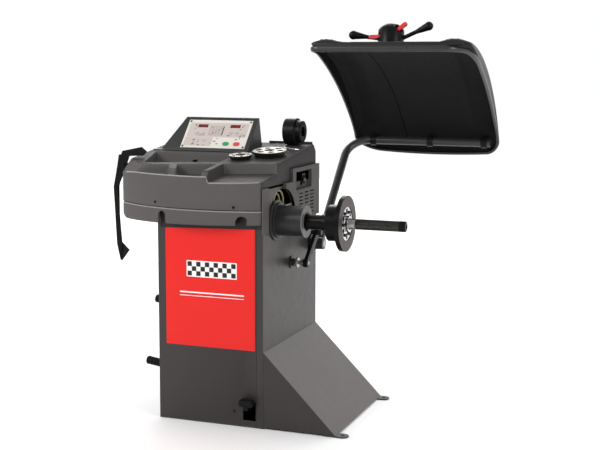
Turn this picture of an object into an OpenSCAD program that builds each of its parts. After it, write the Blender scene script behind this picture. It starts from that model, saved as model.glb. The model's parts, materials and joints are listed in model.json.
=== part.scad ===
// Wheel balancer: sheet-metal column, moulded weight tray, spindle unit,
// swinging wheel guard and the loose clamping tools that go with it.
// X runs along the spindle towards its free end, Y to the back, Z up.
// The origin is on the floor, under the centre of the column.

/* [Column] */
// Width of the column along X
column_w = 432; // [400:2:470]
// Depth of the column along Y
column_d = 578; // [560:2:600]
// Thickness of the column's sheet metal
sheet = 2; // [1.5:0.5:2]
// Thickness of the base plate and of the floor lugs
base_t = 5; // [4:1:8]
// Height of the sloping plinth where it meets the column
wedge_h = 289; // [200:1:320]
// Reach of the plinth beyond the column's side
wedge_run = 287; // [240:1:320]
// Radius of the two anchor holes
anchor_r = 7; // [5:0.5:9]

/* [Spindle] */
// Distance from the column's centre plane forward to the spindle axis
spindle_front = 155; // [150:1:160]
// Height of the spindle axis
spindle_z = 776; // [770:1:780]
// Radius of the threaded end of the shaft
shaft_r = 20; // [18:0.5:20]
// Free end of the shaft, measured from the column's centre
shaft_end = 723; // [690:1:760]
// Radius of the wheel flange
flange_r = 104; // [90:1:110]

/* [Casing] */
// Slope of the deck towards the user, in degrees
deck_tilt = 7; // [5:0.5:8]
// Depth of the weight pockets
pocket_depth = 38; // [30:1:40]
// Wall of the moulded plastic
wall = 4; // [3:0.5:5]

/* [Guard] */
// Radius of the guard's bent tube
tube_r = 17; // [14:0.5:18]
// Height of the guard's pivot
pivot_z = 636; // [620:1:650]
// Left edge of the hood
hood_x0 = 270; // [262:1:280]
// Right edge of the hood
hood_x1 = 900; // [860:1:920]
// Outer radius of the hood's back
hood_r = 733; // [725:1:738]

/* [Hidden] */

$fn = 64;
side_x = column_w / 2;
front_y = -column_d / 2;
rear_y = column_d / 2;
spindle_y = -spindle_front;
running = 0.05;
seat_gap = 0.05;
eps = 0.5;

// Colours of the main finishes
paint_grey = [0.27, 0.27, 0.26];
plastic_grey = [0.42, 0.41, 0.43];
black = [0.06, 0.06, 0.06];
steel = [0.72, 0.72, 0.72];

// Column panels
panel_top = 900;
seam_x = 190;
slot_x0 = 134;
slot_x1 = 186;
slot_z0 = 26;
slot_z1 = 98;
arch_y = -105;
arch_z = 765;
arch_r = 125;
arch_z0 = 750;
recess_y0 = 22;
recess_y1 = 196;
recess_z0 = 872;
recess_z1 = 942;

// Casing outline: a large arc in front, straight sides and back
bow_x = -17;
bow_y = 278;
bow_r = 619;
casing_x0 = -422;
casing_x1 = side_x;
casing_y1 = 293;
back_edge_y = 258.5;
back_edge_z = 1039;
skirt_z = 825;
apron_z = 760;
deck_y = -139;
deck_z = 990;
rim_drop = 15;

// Console on the deck, in the deck's own frame
console_x0 = -366;
console_x1 = 17;
console_top_x0 = -305;
console_y0 = 185;
face_len = 168;
face_tilt = 40.4;
face_x = -145;
pad_w = 282;
pad_h = 145;
key_y = 32.6;
start_x = 54;
stop_x = 101;
display_y = 123;
display_x = 71.5;
window_w = 45;
window_h = 17;

// Spindle stations along X
housing_r = 57;
housing_x0 = 66;
housing_x1 = 335;
bearing_r = 42.5;
journal_r = 22.5;
neck_r = 24;
hub_x0 = 340;
hub_x1 = 480;
flange_x1 = 498;
thread_x0 = 511;
pulley_x0 = 14;
pulley_x1 = 45;
pulley_r = 55;
drum_x1 = 60;
drum_r = 72;
motor_z = 560;
motor_pulley_r = 22;
motor_r = 60;

// Foot brake
pedal_y = -205;
pedal_z = 96;
pin_r = 8;
rod_x = 54;
rod_y = -155;
shoe_gap = 8;

// Distance gauge
gauge_y = 2;
gauge_z = 591;
gauge_r = 8;
gauge_angle = 41;
gauge_len = 160;
arm_x0 = 270;
arm_x1 = 288;

// Guard
pivot_y = 225;
leg_x = 252;
corner_y = 615;
corner_z = 1036;
bend_r = 90;
tube_end = 868;
leg_angle = atan2(corner_z - pivot_z, corner_y - pivot_y);
leg_len = norm([corner_y - pivot_y, corner_z - pivot_z]);
hood_y = -2;
hood_z = 714;
hood_a0 = 22;
hood_a1 = 86.7;
hood_t = 5;
rim_y = -353;
rim_z = 154;
rim_r = 1330;
rib_h = 12;
lip_h = 17;
corner_top = 40;
corner_low = 52;
corner_left = 70;

// Loose tools
nut_x = 571;
nut_angle = 10.4;
nut_r = 50;
nut_h = 74;
small_at = [42, 50];
large_at = [134, 122];
cup_y = 366.4;
cup_r = 54.5;
peg_tilt = 8;
caliper_y = -120;
hook_pin = [-448, 962];
hook_pin_r = 4;
arm_pivot = [-461, 985];

// Part frames
module deck_frame() {
  translate([0, deck_y, deck_z]) rotate([deck_tilt, 0, 0]) children();
}

module face_frame() {
  deck_frame() translate([face_x, console_y0, 4]) rotate([face_tilt, 0, 0]) children();
}

module along_x(x0, x1, r) {
  translate([x0, 0, 0]) rotate([0, 90, 0]) cylinder(h = x1 - x0, r = r);
}

module at_spindle() {
  translate([0, spindle_y, spindle_z]) children();
}

module block(lo, hi) {
  translate(lo) cube(hi - lo);
}

module ring_x(x0, x1, r_out, r_in) {
  difference() {
    along_x(x0, x1, r_out);
    along_x(x0 - 1, x1 + 1, r_in);
  }
}

// Extrudes a profile drawn in Y and Z along X
module profile_x(x0, x1) {
  translate([x0, 0, 0]) rotate([90, 0, 90]) linear_extrude(x1 - x0) children();
}

module stadium(w, h, z0, z1) {
  for (side = [-1, 1]) translate([side * (w - h) / 2, 0, z0]) cylinder(h = z1 - z0, r = h / 2);
  block([-(w - h) / 2, -h / 2, z0], [(w - h) / 2, h / 2, z1]);
}

// ---- Column ----
module base_plate() {
  color(paint_grey) block([-side_x, front_y, 0], [side_x, rear_y, base_t]);
}

module front_panel() {
  color(paint_grey) difference() {
    union() {
      block([-side_x, front_y, base_t], [seam_x, front_y + sheet, panel_top]);
      block([-side_x, front_y, base_t], [-side_x + sheet, rear_y, panel_top]);
    }
    block([slot_x0, front_y - 1, slot_z0], [slot_x1, front_y + sheet + 1, slot_z1]);
  }
}

module arch_cut(x0, x1) {
  difference() {
    translate([0, arch_y, arch_z]) along_x(x0, x1, arch_r);
    block([x0 - 1, arch_y - 200, arch_z - 200], [x1 + 1, arch_y + 200, arch_z0]);
  }
}

module right_panel() {
  color(paint_grey) difference() {
    union() {
      block([side_x - sheet, front_y, base_t], [side_x, rear_y, panel_top]);
      block([seam_x + 0.5, front_y, base_t], [side_x, front_y + sheet, panel_top]);
    }
    arch_cut(side_x - 20, side_x + 20);
    at_spindle() along_x(side_x - 20, side_x + 20, housing_r + 2);
    block([side_x - 10, recess_y0 - 1, recess_z0 - 1], [side_x + 1, recess_y1 + 1, panel_top + 1]);
    translate([0, gauge_y, gauge_z]) along_x(side_x - 20, side_x + 20, 15.5);
    translate([0, pivot_y, pivot_z]) along_x(side_x - 20, side_x + 20, 24.5);
  }
}

module rear_panel() {
  color(paint_grey) difference() {
    block([-side_x + sheet, rear_y - sheet, base_t], [side_x - sheet, rear_y, panel_top]);
    block([79, rear_y - 10, 129], [131, rear_y + 10, 163]);
    for (row = [0:5]) for (side = [-1, 1])
      block([side * 90 - 40, rear_y - 10, 560 + 16 * row], [side * 90 + 40, rear_y + 10, 566 + 16 * row]);
  }
}

module wedge_outline(inset) {
  slant = inset * norm([wedge_h, wedge_run]) / wedge_run;
  polygon([[side_x, base_t - (inset > 0 ? 1 : 0)],
    [side_x + wedge_run - inset * norm([wedge_h, wedge_run]) / wedge_h, base_t - (inset > 0 ? 1 : 0)],
    [side_x, base_t + wedge_h - slant]]);
}

module wedge_plinth() {
  color(paint_grey) difference() {
    translate([0, rear_y, 0]) rotate([90, 0, 0]) linear_extrude(column_d) wedge_outline(0);
    translate([0, rear_y - 3, 0]) rotate([90, 0, 0]) linear_extrude(column_d - 6) wedge_outline(3);
  }
}

module floor_lugs() {
  lug_x = 523;
  color(paint_grey) for (side = [-1, 1]) translate([0, side * 266, 0]) difference() {
    union() {
      block([452, -23, 0], [lug_x, 23, base_t]);
      translate([lug_x, 0, 0]) cylinder(h = base_t, r = 23);
    }
    translate([lug_x, 0, -1]) cylinder(h = base_t + 2, r = anchor_r);
  }
}

module red_panel() {
  color([0.86, 0.16, 0.13]) block([-183, front_y - 1.5, 296], [184, front_y, 778]);
}

// ---- Casing ----
module casing_outline(inset) {
  intersection() {
    translate([bow_x, bow_y]) circle(r = bow_r - inset, $fn = 180);
    translate([casing_x0 + inset, -400])
      square([casing_x1 - casing_x0 - 2 * inset, 400 + casing_y1 - inset]);
  }
}

module above_deck(z) {
  deck_frame() block([-600, -400, z], [600, 600, z + 300]);
}

module behind_back_edge(z) {
  translate([0, back_edge_y, back_edge_z]) rotate([-45, 0, 0]) block([-600, 0, z], [600, 300, z + 300]);
}

module pocket_shape(grow) {
  linear_extrude(100)
    polygon([[-349 - grow, -110 + grow], [-202 + grow, -86 + grow], [-124 + grow, -230], [-349 - grow, -230]]);
  linear_extrude(100)
    polygon([[-165 - grow, -79 + grow], [-15 + grow, -50 + grow], [-15 + grow, -230], [-104 - grow, -230]]);
  linear_extrude(100)
    polygon([[-318 - grow, -68 - grow], [-20 + grow, -19 - grow], [-20 + grow, 148 + grow],
      [-372 - grow, 148 + grow]]);
}

module pockets(grow) {
  intersection() {
    deck_frame() translate([0, 0, -pocket_depth - grow]) pocket_shape(grow);
    translate([bow_x, bow_y, 700]) cylinder(h = 500, r = bow_r - wall + grow / wall, $fn = 180);
  }
}

module side_tray(grow) {
  deck_frame() translate([0, 0, -pocket_depth - grow]) linear_extrude(100)
    polygon([[10 - grow, -46 + grow], [260, 0 + grow], [260, -300], [10 - grow, -300]]);
}

// Space in front of the deck's sloping front edge, above the low rim
module over_rim(inset) {
  difference() {
    block([-600, -400, deck_z - 40 - inset], [600, -120, 1200]);
    translate([bow_x, bow_y, 700]) cylinder(h = 520, r = bow_r - 22 - inset, $fn = 180);
  }
}

module weight_tray() {
  color(plastic_grey) difference() {
    translate([0, 0, skirt_z]) linear_extrude(250) casing_outline(0);
    above_deck(0);
    behind_back_edge(0);
    over_rim(0);
    difference() {
      translate([0, 0, skirt_z - 1]) linear_extrude(250) casing_outline(wall);
      above_deck(-wall);
      behind_back_edge(-wall);
      pockets(wall);
      side_tray(wall);
      over_rim(wall);
    }
    pockets(0);
    side_tray(0);
    block([casing_x1 - 30, -294, skirt_z - 1], [casing_x1 + 1, -13, 908]);
    block([casing_x1 - 30, -14, skirt_z - 1], [casing_x1 + 1, 400, 958]);
  }
  color(plastic_grey) deck_frame() block([20, 395, 0], [side_x - 2, 399, 8]);
}

module front_apron() {
  color(plastic_grey) difference() {
    union() {
      translate([0, 0, apron_z]) linear_extrude(skirt_z - apron_z) casing_outline(0);
      block([side_x, -297, 737], [side_x + 3, -237, 906]);
    }
    difference() {
      translate([0, 0, apron_z + wall]) linear_extrude(100) casing_outline(wall);
      block([side_x - 1, -400, 700], [side_x + 10, 0, 1000]);
    }
    block([-side_x - eps, front_y - 3, apron_z - 1], [side_x, rear_y, skirt_z + 1]);
    for (notch = [[-184, 18, 793], [144, 23, 782]]) {
      block([notch[0] - notch[1], -400, apron_z - 1], [notch[0] + notch[1], front_y - 3, notch[2]]);
      translate([notch[0], front_y - 3, notch[2]]) rotate([90, 0, 0]) cylinder(h = 60, r = notch[1]);
    }
  }
}

module side_cover() {
  x1 = side_x + 13;
  color(plastic_grey) difference() {
    union() {
      block([side_x, -87, 752], [x1, rear_y, 908]);
      block([side_x, -13, 900], [x1, rear_y, 958]);
    }
    difference() {
      union() {
        block([side_x - 1, -84, 755], [x1 - 3, rear_y - 3, 905]);
        block([side_x - 1, -10, 897], [x1 - 3, rear_y - 3, 955]);
      }
      block([0, recess_y0 - 3, recess_z0 - 3], [x1, recess_y1 + 3, recess_z1 + 3]);
    }
    block([side_x - 20, recess_y0, recess_z0], [x1 + 1, recess_y1, recess_z1]);
    arch_cut(side_x - 20, x1 + 20);
    for (col = [0:2]) for (row = [0:6])
      block([side_x + 5, 56 + 62 * col, 768 + 14 * row], [x1 + 1, 98 + 62 * col, 773 + 14 * row]);
  }
  color(plastic_grey) difference() {
    block([side_x - 10, recess_y0 - 0.5, recess_z0 - 0.5], [side_x, recess_y1 + 0.5, panel_top - 0.5]);
    block([side_x - 7, recess_y0 + 2, recess_z0 + 2], [side_x + 1, recess_y1 - 2, panel_top + 1]);
  }
}

// ---- Console ----
module console_solid(inset) {
  low = inset > 0 ? -1 : 0;
  hull() {
    block([console_x0 + inset, console_y0 - 2 + 2 * inset, low],
      [console_x1 - inset, 328 - inset, 4 - inset / 2]);
    block([console_top_x0 + inset, 313 + inset, 113 - inset],
      [console_x1 - 3 - inset, 322 - inset, 115 - inset]);
  }
}

module console_housing() {
  color([0.22, 0.24, 0.24]) difference() {
    union() {
      deck_frame() console_solid(0);
      deck_frame() block([console_x0 - 32, 172, 0], [console_x1 - 6, console_y0 + 4, 4]);
    }
    deck_frame() console_solid(3);
    face_frame() block([-pad_w / 2 - eps, 9, -0.8], [pad_w / 2 + eps, 9 + pad_h + 1, 20]);
    face_frame() for (side = [-1, 1]) translate([side * display_x, display_y, 0])
      block([-window_w / 2 - 1, -window_h / 2 - 1, -12], [window_w / 2 + 1, window_h / 2 + 1, 10]);
    face_frame() for (x = [start_x, stop_x]) translate([x, key_y, 0]) stadium(30, 21, -12, 10);
  }
}

module keypad_panel() {
  color([0.9, 0.89, 0.84]) face_frame() difference() {
    block([-pad_w / 2, 9.5, -0.8], [pad_w / 2, 9.5 + pad_h, 1.5]);
    for (side = [-1, 1]) translate([side * display_x, display_y, 0])
      block([-window_w / 2, -window_h / 2, -12], [window_w / 2, window_h / 2, 10]);
    for (x = [start_x, stop_x]) translate([x, key_y, 0]) stadium(28, 19, -12, 10);
  }
}

module key(x, tone) {
  color(tone) face_frame() translate([x, key_y, 0]) stadium(27, 18, -5, 4);
}

module start_key() {
  key(start_x, [0.1, 0.55, 0.3]);
}

module stop_key() {
  key(stop_x, [0.85, 0.25, 0.2]);
}

module display_board() {
  color([0.1, 0.3, 0.15]) face_frame() {
    block([-130, 18, -18], [130, 140, -16.4]);
    for (side = [-1, 1]) translate([side * display_x, display_y, 0])
      block([-window_w / 2 + 0.5, -window_h / 2 + 0.5, -16.4], [window_w / 2 - 0.5, window_h / 2 - 0.5, 0.5]);
    for (x = [start_x, stop_x]) translate([x, key_y, 0]) block([-5, -5, -16.4], [5, 5, -7]);
  }
}

// ---- Electrics inside the column ----
module power_board() {
  color([0.1, 0.3, 0.15]) {
    block([-side_x + sheet + 12, -60, 470], [-side_x + sheet + 14, 160, 720]);
    for (corner = [[-50, 480], [150, 480], [-50, 710], [150, 710]])
      translate([0, corner[0], corner[1]]) along_x(-side_x + sheet, -side_x + sheet + 12, 4);
    block([-side_x + sheet + 14, -40, 500], [-side_x + sheet + 74, 40, 570]);
    for (row = [0:3]) translate([0, 80 + 20 * row, 560]) along_x(-side_x + sheet + 14, -side_x + sheet + 50, 8);
    block([-side_x + sheet + 14, -40, 620], [-side_x + sheet + 44, 140, 640]);
  }
}

module mains_inlet() {
  color(black) difference() {
    union() {
      block([80, rear_y - 24, 130], [130, rear_y, 162]);
      block([74, rear_y, 124], [136, rear_y + 4, 168]);
    }
    block([86, rear_y - 20, 136], [124, rear_y + 5, 156]);
  }
  color(steel) for (pin = [-8, 0, 8]) block([104 + pin, rear_y - 20, 143], [106 + pin, rear_y - 4, 149]);
}

module switch_bezel() {
  color(black) translate([0, 137, 905]) difference() {
    block([side_x - 7, -17, -22], [side_x + 1, 17, 22]);
    block([side_x - 6, -12.5, -17], [side_x + 2, 12.5, 17]);
    translate([side_x - 2, -15, 0]) rotate([-90, 0, 0]) cylinder(h = 30, r = 2 + running);
  }
}

module switch_rocker() {
  color(black) translate([side_x - 2, 137, 905]) {
    intersection() {
      translate([-10, 11.5, 0]) rotate([90, 0, 0]) cylinder(h = 23, r = 18);
      block([-1.5, -11.5, -14], [10, 11.5, 14]);
    }
    translate([0, -14.5, 0]) rotate([-90, 0, 0]) cylinder(h = 29, r = 2);
  }
}

module storage_pegs() {
  color(black) for (peg = [[-160, 170], [-79, 405]])
    translate([-side_x, peg[0], peg[1]]) rotate([0, -90 + peg_tilt, 0]) intersection() {
      union() {
        translate([0, 0, -20]) cylinder(h = 140, r = 14.5);
        for (i = [0:7]) translate([0, 0, 10 + 14 * i]) cylinder(h = 10, r = 16.5);
      }
      rotate([0, -peg_tilt, 0]) block([-60, -60, 0], [60, 60, 200]);
    }
}

// ---- Rim-width caliper hung on the tray's edge ----
module caliper_hook() {
  color(black) {
    block([casing_x0 - 4, caliper_y - 20, 880], [casing_x0, caliper_y + 20, 970]);
    translate([hook_pin[0], caliper_y - 12, hook_pin[1]]) rotate([-90, 0, 0]) cylinder(h = 24, r = hook_pin_r);
    block([hook_pin[0] - 6, caliper_y + 9, hook_pin[1] - 6], [casing_x0 - 3, caliper_y + 12, hook_pin[1] + 6]);
  }
}

module caliper_plate(y0) {
  translate([0, y0 + 4, 0]) rotate([90, 0, 0]) linear_extrude(4) children();
}

module caliper_head() {
  color(black) difference() {
    caliper_plate(caliper_y - 4) polygon([[-455, 1016], [-368, 1034], [-344, 1015], [-362, 1000],
      [-424, 996], [-444, 940], [-476, 872], [-472, 760], [-462, 640], [-470, 572], [-486, 640],
      [-492, 760], [-497, 872], [-478, 960]]);
    translate([arm_pivot[0], caliper_y - 10, arm_pivot[1]]) rotate([-90, 0, 0]) cylinder(h = 20, r = 5);
    translate([hook_pin[0], caliper_y - 10, hook_pin[1]]) rotate([-90, 0, 0])
      cylinder(h = 20, r = hook_pin_r + running);
  }
}

module caliper_arm() {
  color(black) caliper_plate(caliper_y + 0.4) polygon([[-474, 1000], [-436, 1006], [-430, 985],
      [-453, 973], [-474, 872], [-474, 760], [-466, 650], [-432, 618], [-468, 572], [-488, 640],
      [-490, 760], [-495, 872], [-480, 965]]);
  color(steel) translate([arm_pivot[0], caliper_y - 7, arm_pivot[1]]) rotate([-90, 0, 0])
    cylinder(h = 8, r = 5 - running);
}

// ---- Spindle unit ----
module spindle_housing() {
  color(plastic_grey) at_spindle() difference() {
    along_x(housing_x0, housing_x1, housing_r);
    along_x(housing_x0 - 1, housing_x1 + 1, 31);
    along_x(housing_x0 - 1, 98, bearing_r);
    along_x(300, housing_x1 + 1, bearing_r);
  }
}

module housing_collar() {
  color(plastic_grey) at_spindle() difference() {
    union() {
      along_x(side_x, side_x + 6, 78);
      along_x(side_x + 6, side_x + 16, 66);
    }
    along_x(side_x - 1, side_x + 20, housing_r + seat_gap);
  }
}

module housing_end_cap() {
  color(steel) at_spindle() difference() {
    along_x(housing_x1, housing_x1 + 4, 61);
    along_x(housing_x1 - 1, housing_x1 + 5, 34.5);
  }
}

module spindle_bearings() {
  color(steel) at_spindle() for (x = [78, 303]) difference() {
    ring_x(x, x + 19, bearing_r - seat_gap, journal_r + running);
    for (end = [x - 1, x + 17]) ring_x(end, end + 3, 37, 28);
  }
}

module support_frame() {
  plate_x0 = 100;
  plate_x1 = 112;
  color(paint_grey) {
    difference() {
      union() {
        block([plate_x0, -275, base_t], [plate_x1, -30, 868]);
        block([-160, -235, 488], [plate_x0, -75, 496]);
        block([40, -270, base_t], [plate_x0, -262, 300]);
        block([40, -60, base_t], [plate_x0, -52, 300]);
        block([44, -172, 596], [plate_x0, -138, 606]);
        profile_x(-20, plate_x0) polygon([[-235, 488], [-225, 488], [-225, 420], [-235, 450]]);
      }
      at_spindle() along_x(plate_x0 - 1, plate_x1 + 1, housing_r + seat_gap);
      translate([rod_x, rod_y, 590]) cylinder(h = 20, r = 5 + running);
      translate([rod_x, rod_y, 480]) cylinder(h = 20, r = 9);
      translate([0, pedal_y, pedal_z]) along_x(plate_x0 - 1, plate_x1 + 1, 17);
    }
  }
}

module piezo_sensors() {
  color([0.75, 0.62, 0.3]) for (y = [-240, -70])
    translate([0, y, spindle_z]) difference() {
      along_x(112, 124, 14);
      along_x(111, 125, 5);
    }
}

module motor() {
  color([0.35, 0.36, 0.38]) translate([0, spindle_y, motor_z]) {
    along_x(-148, -4, motor_r - 4);
    for (i = [0:11]) rotate([30 * i, 0, 0]) block([-140, -2, 50], [-20, 2, motor_r]);
    block([-130, -48, -64], [-20, -38, -40]);
    block([-130, 38, -64], [-20, 48, -40]);
  }
}

module motor_pulley() {
  color(steel) translate([0, spindle_y, motor_z]) {
    along_x(-3.5, pulley_x1, 7);
    difference() {
      along_x(pulley_x0, pulley_x1 - 1, motor_pulley_r);
      for (i = [0:4]) ring_x(pulley_x0 + 4 + 5 * i, pulley_x0 + 6 + 5 * i, motor_pulley_r + 1, motor_pulley_r - 2);
    }
  }
}

module belt_outline(grow) {
  upper = [spindle_y, spindle_z];
  lower = [spindle_y, motor_z];
  lean = asin((pulley_r - motor_pulley_r) / (spindle_z - motor_z));
  r1 = pulley_r + grow;
  r2 = motor_pulley_r + grow;
  translate(upper) circle(r = r1);
  translate(lower) circle(r = r2);
  polygon([upper + r1 * [-cos(lean), -sin(lean)], lower + r2 * [-cos(lean), -sin(lean)],
    lower + r2 * [cos(lean), -sin(lean)], upper + r1 * [cos(lean), -sin(lean)]]);
}

module drive_belt() {
  color(black) profile_x(pulley_x0 + 4, pulley_x1 - 4) difference() {
    belt_outline(4);
    belt_outline(0.4);
  }
}

module spindle_shaft() {
  color(steel) at_spindle() {
    along_x(6, 62, 15);
    along_x(62, 326, journal_r);
    along_x(326, flange_x1 - 2, neck_r);
    along_x(flange_x1 - 2, thread_x0 - 1.5, 22);
    along_x(thread_x0 - 1.5, thread_x0, shaft_r - 0.5);
    along_x(thread_x0, shaft_end - 3, shaft_r);
    translate([shaft_end - 3, 0, 0]) rotate([0, 90, 0]) cylinder(h = 3, r1 = shaft_r, r2 = shaft_r - 3);
  }
}

module spindle_lock_nut() {
  color(black) at_spindle() difference() {
    union() {
      along_x(327, hub_x0, 27);
      for (i = [0:4]) rotate([72 * i, 0, 0]) translate([0, 0, 26]) along_x(327, hub_x0, 7);
    }
    along_x(326, hub_x0 + 1, neck_r + seat_gap);
  }
}

module spindle_pulley() {
  color(steel) at_spindle() difference() {
    union() {
      along_x(pulley_x0, pulley_x1, pulley_r);
      along_x(pulley_x1, pulley_x1 + 3, 40);
      along_x(pulley_x1 + 3, drum_x1, drum_r);
    }
    along_x(pulley_x0 - 1, drum_x1 + 1, 15 + seat_gap);
    ring_x(pulley_x0 - 1, pulley_x0 + 10, 44, 24);
    for (i = [0:4]) ring_x(pulley_x0 + 4 + 5 * i, pulley_x0 + 6 + 5 * i, pulley_r + 1, pulley_r - 2);
    for (i = [0:17]) rotate([20 * i, 0, 0]) block([pulley_x1 + 1, -3, 60], [drum_x1 - 8, 3, 66]);
  }
}

module flange_hub() {
  color(black) at_spindle() difference() {
    union() {
      along_x(hub_x0, 400, 28);
      along_x(400, 432, 31);
      along_x(430, hub_x1, 68);
    }
    along_x(hub_x0 - 1, hub_x1 + 1, neck_r + seat_gap);
    ring_x(444, hub_x1 + 1, 58, 32);
  }
}

module wheel_flange() {
  color([0.36, 0.33, 0.31]) at_spindle() difference() {
    along_x(hub_x1, flange_x1, flange_r);
    along_x(hub_x1 - 1, flange_x1 + 1, neck_r + seat_gap);
    along_x(flange_x1 - 10, flange_x1 + 1, 63);
    for (i = [0:5]) rotate([60 * i + 30, 0, 0]) translate([0, 0, 46]) along_x(hub_x1 - 1, flange_x1, 4);
  }
}

module hub_insert() {
  color([0.85, 0.85, 0.86]) at_spindle() difference() {
    union() {
      along_x(flange_x1 - 10, flange_x1 - 2, 62.5);
      along_x(flange_x1 - 2, flange_x1 + 10, 30);
    }
    along_x(flange_x1 - 11, flange_x1 - 2, neck_r + seat_gap);
    along_x(flange_x1 - 2, flange_x1 + 11, 22 + seat_gap);
    for (i = [0:5]) rotate([60 * i, 0, 0]) block([flange_x1 - 11, -9, 36], [flange_x1, 9, 56]);
  }
}

module flange_screws() {
  color(black) at_spindle() for (i = [0:5]) rotate([60 * i + 30, 0, 0])
    translate([0, 0, 46]) along_x(flange_x1 - 2, flange_x1 + 3, 6);
}

// ---- Foot brake ----
module brake_bracket() {
  color(paint_grey) {
    for (x = [34, 192]) difference() {
      block([x, pedal_y - 22, base_t], [x + 6, pedal_y + 22, pedal_z + 20]);
      translate([0, pedal_y, pedal_z]) along_x(x - 1, x + 7, pin_r);
    }
    translate([0, pedal_y, pedal_z]) along_x(30, 202, pin_r);
  }
}

module brake_pedal() {
  color(black) difference() {
    union() {
      translate([0, pedal_y, pedal_z]) along_x(42, 190, 13);
      block([152, -330, pedal_z - 20], [170, pedal_y, pedal_z - 1]);
      block([136, -334, pedal_z - 5], [186, -300, pedal_z]);
      block([rod_x - 6, pedal_y, pedal_z - 7], [rod_x + 6, rod_y, pedal_z + 5]);
      translate([0, rod_y, pedal_z]) along_x(rod_x - 6, rod_x + 6, 8);
    }
    translate([0, pedal_y, pedal_z]) along_x(40, 192, pin_r + running);
  }
}

module pedal_pad() {
  color(black) hull() for (x = [143, 179]) for (y = [-332, -306]) {
    translate([x, y, pedal_z]) cylinder(h = 16, r = 8, $fn = 32);
    translate([x, y, pedal_z]) cylinder(h = 19, r = 5, $fn = 32);
  }
}

module brake_rod() {
  color(steel) {
    translate([rod_x, rod_y, pedal_z + 9]) cylinder(h = 590, r = 5);
    at_spindle() block([pulley_x1 + 4, -22, -drum_r - shoe_gap - 20], [drum_x1 - 1, 22, -drum_r - shoe_gap]);
  }
}

// ---- Distance gauge ----
module at_gauge() {
  translate([0, gauge_y, gauge_z]) children();
}

module gauge_guide() {
  color(black) at_gauge() difference() {
    union() {
      along_x(side_x, side_x + 5, 24);
      along_x(196, side_x + 16, 15);
    }
    along_x(195, side_x + 17, gauge_r + running);
  }
}

module gauge_rod() {
  color(steel) at_gauge() {
    along_x(-90, arm_x1 + 2, gauge_r);
    along_x(240, 246, 20);
    along_x(arm_x0 - 8, arm_x0 - 1, 14);
  }
}

module gauge_arm() {
  color(black) at_gauge() difference() {
    union() {
      along_x(arm_x0, arm_x1, 17);
      rotate([gauge_angle, 0, 0]) block([arm_x0 + 2, 0, -14], [arm_x1 - 2, gauge_len, 14]);
      rotate([gauge_angle, 0, 0]) translate([0, gauge_len, 0]) along_x(arm_x0 + 2, arm_x1 - 2, 14);
    }
    along_x(arm_x0 - 1, arm_x1 + 1, gauge_r + running);
    rotate([gauge_angle, 0, 0]) translate([0, gauge_len, 0]) along_x(arm_x0, arm_x1, 6);
  }
}

module gauge_tip() {
  color(black) at_gauge() rotate([gauge_angle, 0, 0]) translate([0, gauge_len, 0]) {
    along_x(arm_x0 - 2, arm_x1 + 2, 6 - seat_gap);
    along_x(230, arm_x0 + 1.9, 9);
    along_x(arm_x1 - 1.9, arm_x1 + 12, 11);
  }
}

// ---- Guard ----
module at_pivot() {
  translate([0, pivot_y, pivot_z]) children();
}

module guard_bearing() {
  color(black) at_pivot() difference() {
    union() {
      along_x(side_x, side_x + 6, 36);
      along_x(176, side_x + 6, 24);
    }
    along_x(175, side_x + 7, 14 + running);
  }
}

module guard_shaft() {
  color(steel) at_pivot() {
    along_x(150, 276, 14);
    along_x(152, 168, 30);
  }
}

module guard_tube() {
  color(black) translate([leg_x, pivot_y, pivot_z]) rotate([leg_angle, 0, 0]) {
    difference() {
      union() {
        along_x(-22, 22, 25);
        rotate([-90, 0, 0]) cylinder(h = leg_len - bend_r, r = tube_r);
      }
      along_x(-23, 24.1, 14 + seat_gap);
      translate([0, 32, 0]) rotate([-90, 0, 0]) cylinder(h = leg_len - bend_r - 32 + 0.1, r = tube_r - 3);
    }
    translate([bend_r, leg_len - bend_r, 0]) rotate([0, 0, 90]) rotate_extrude(angle = 90)
      translate([bend_r, 0]) difference() {
        circle(r = tube_r);
        circle(r = tube_r - 3);
      }
    translate([0, leg_len, 0]) difference() {
      along_x(bend_r, tube_end - leg_x, tube_r);
      along_x(bend_r - 0.1, tube_end - leg_x - 4, tube_r - 3);
    }
  }
}

module hood_sector(a0, a1) {
  reach = 1000;
  mid = (a0 + a1) / 2;
  translate([hood_y, hood_z]) polygon([[0, 0], reach * [cos(a0), sin(a0)],
    reach * [cos(mid), sin(mid)], reach * [cos(a1), sin(a1)]]);
}

module hood_lens(r_back, end) {
  difference() {
    intersection() {
      translate([hood_y, hood_z]) circle(r = r_back, $fn = 180);
      hood_sector(hood_a0 + end, hood_a1 - end);
    }
    if (end == 0) intersection() {
      translate([rim_y, rim_z]) circle(r = rim_r, $fn = 180);
      translate([hood_y, hood_z]) circle(r = r_back - lip_h, $fn = 180);
    }
  }
}

// Takes off one rounded corner of the hood; end is 1 at the right, side is 1 at the bottom
module hood_corner(end, angle, side, r, inset) {
  over = 0.4;
  turn = side * (r - over) / hood_r * 180 / PI;
  x = end > 0 ? hood_x1 - r + over : hood_x0 + r - over;
  translate([x, hood_y, hood_z]) rotate([angle - 90 + turn, 0, 0]) difference() {
    block([end > 0 ? 0 : -2 * r, side > 0 ? 0 : -2 * r, 400], [end > 0 ? 2 * r : 0, side > 0 ? 2 * r : 0, 900]);
    translate([0, 0, 399]) cylinder(h = 502, r = r - inset);
  }
}

module hood_solid(r_back, end, inset) {
  difference() {
    profile_x(hood_x0 + inset, hood_x1 - inset) hood_lens(r_back, end);
    hood_corner(1, hood_a1, -1, corner_top, inset);
    hood_corner(1, hood_a0, 1, corner_low, inset);
    hood_corner(-1, hood_a0, 1, corner_left, inset);
  }
}

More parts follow.
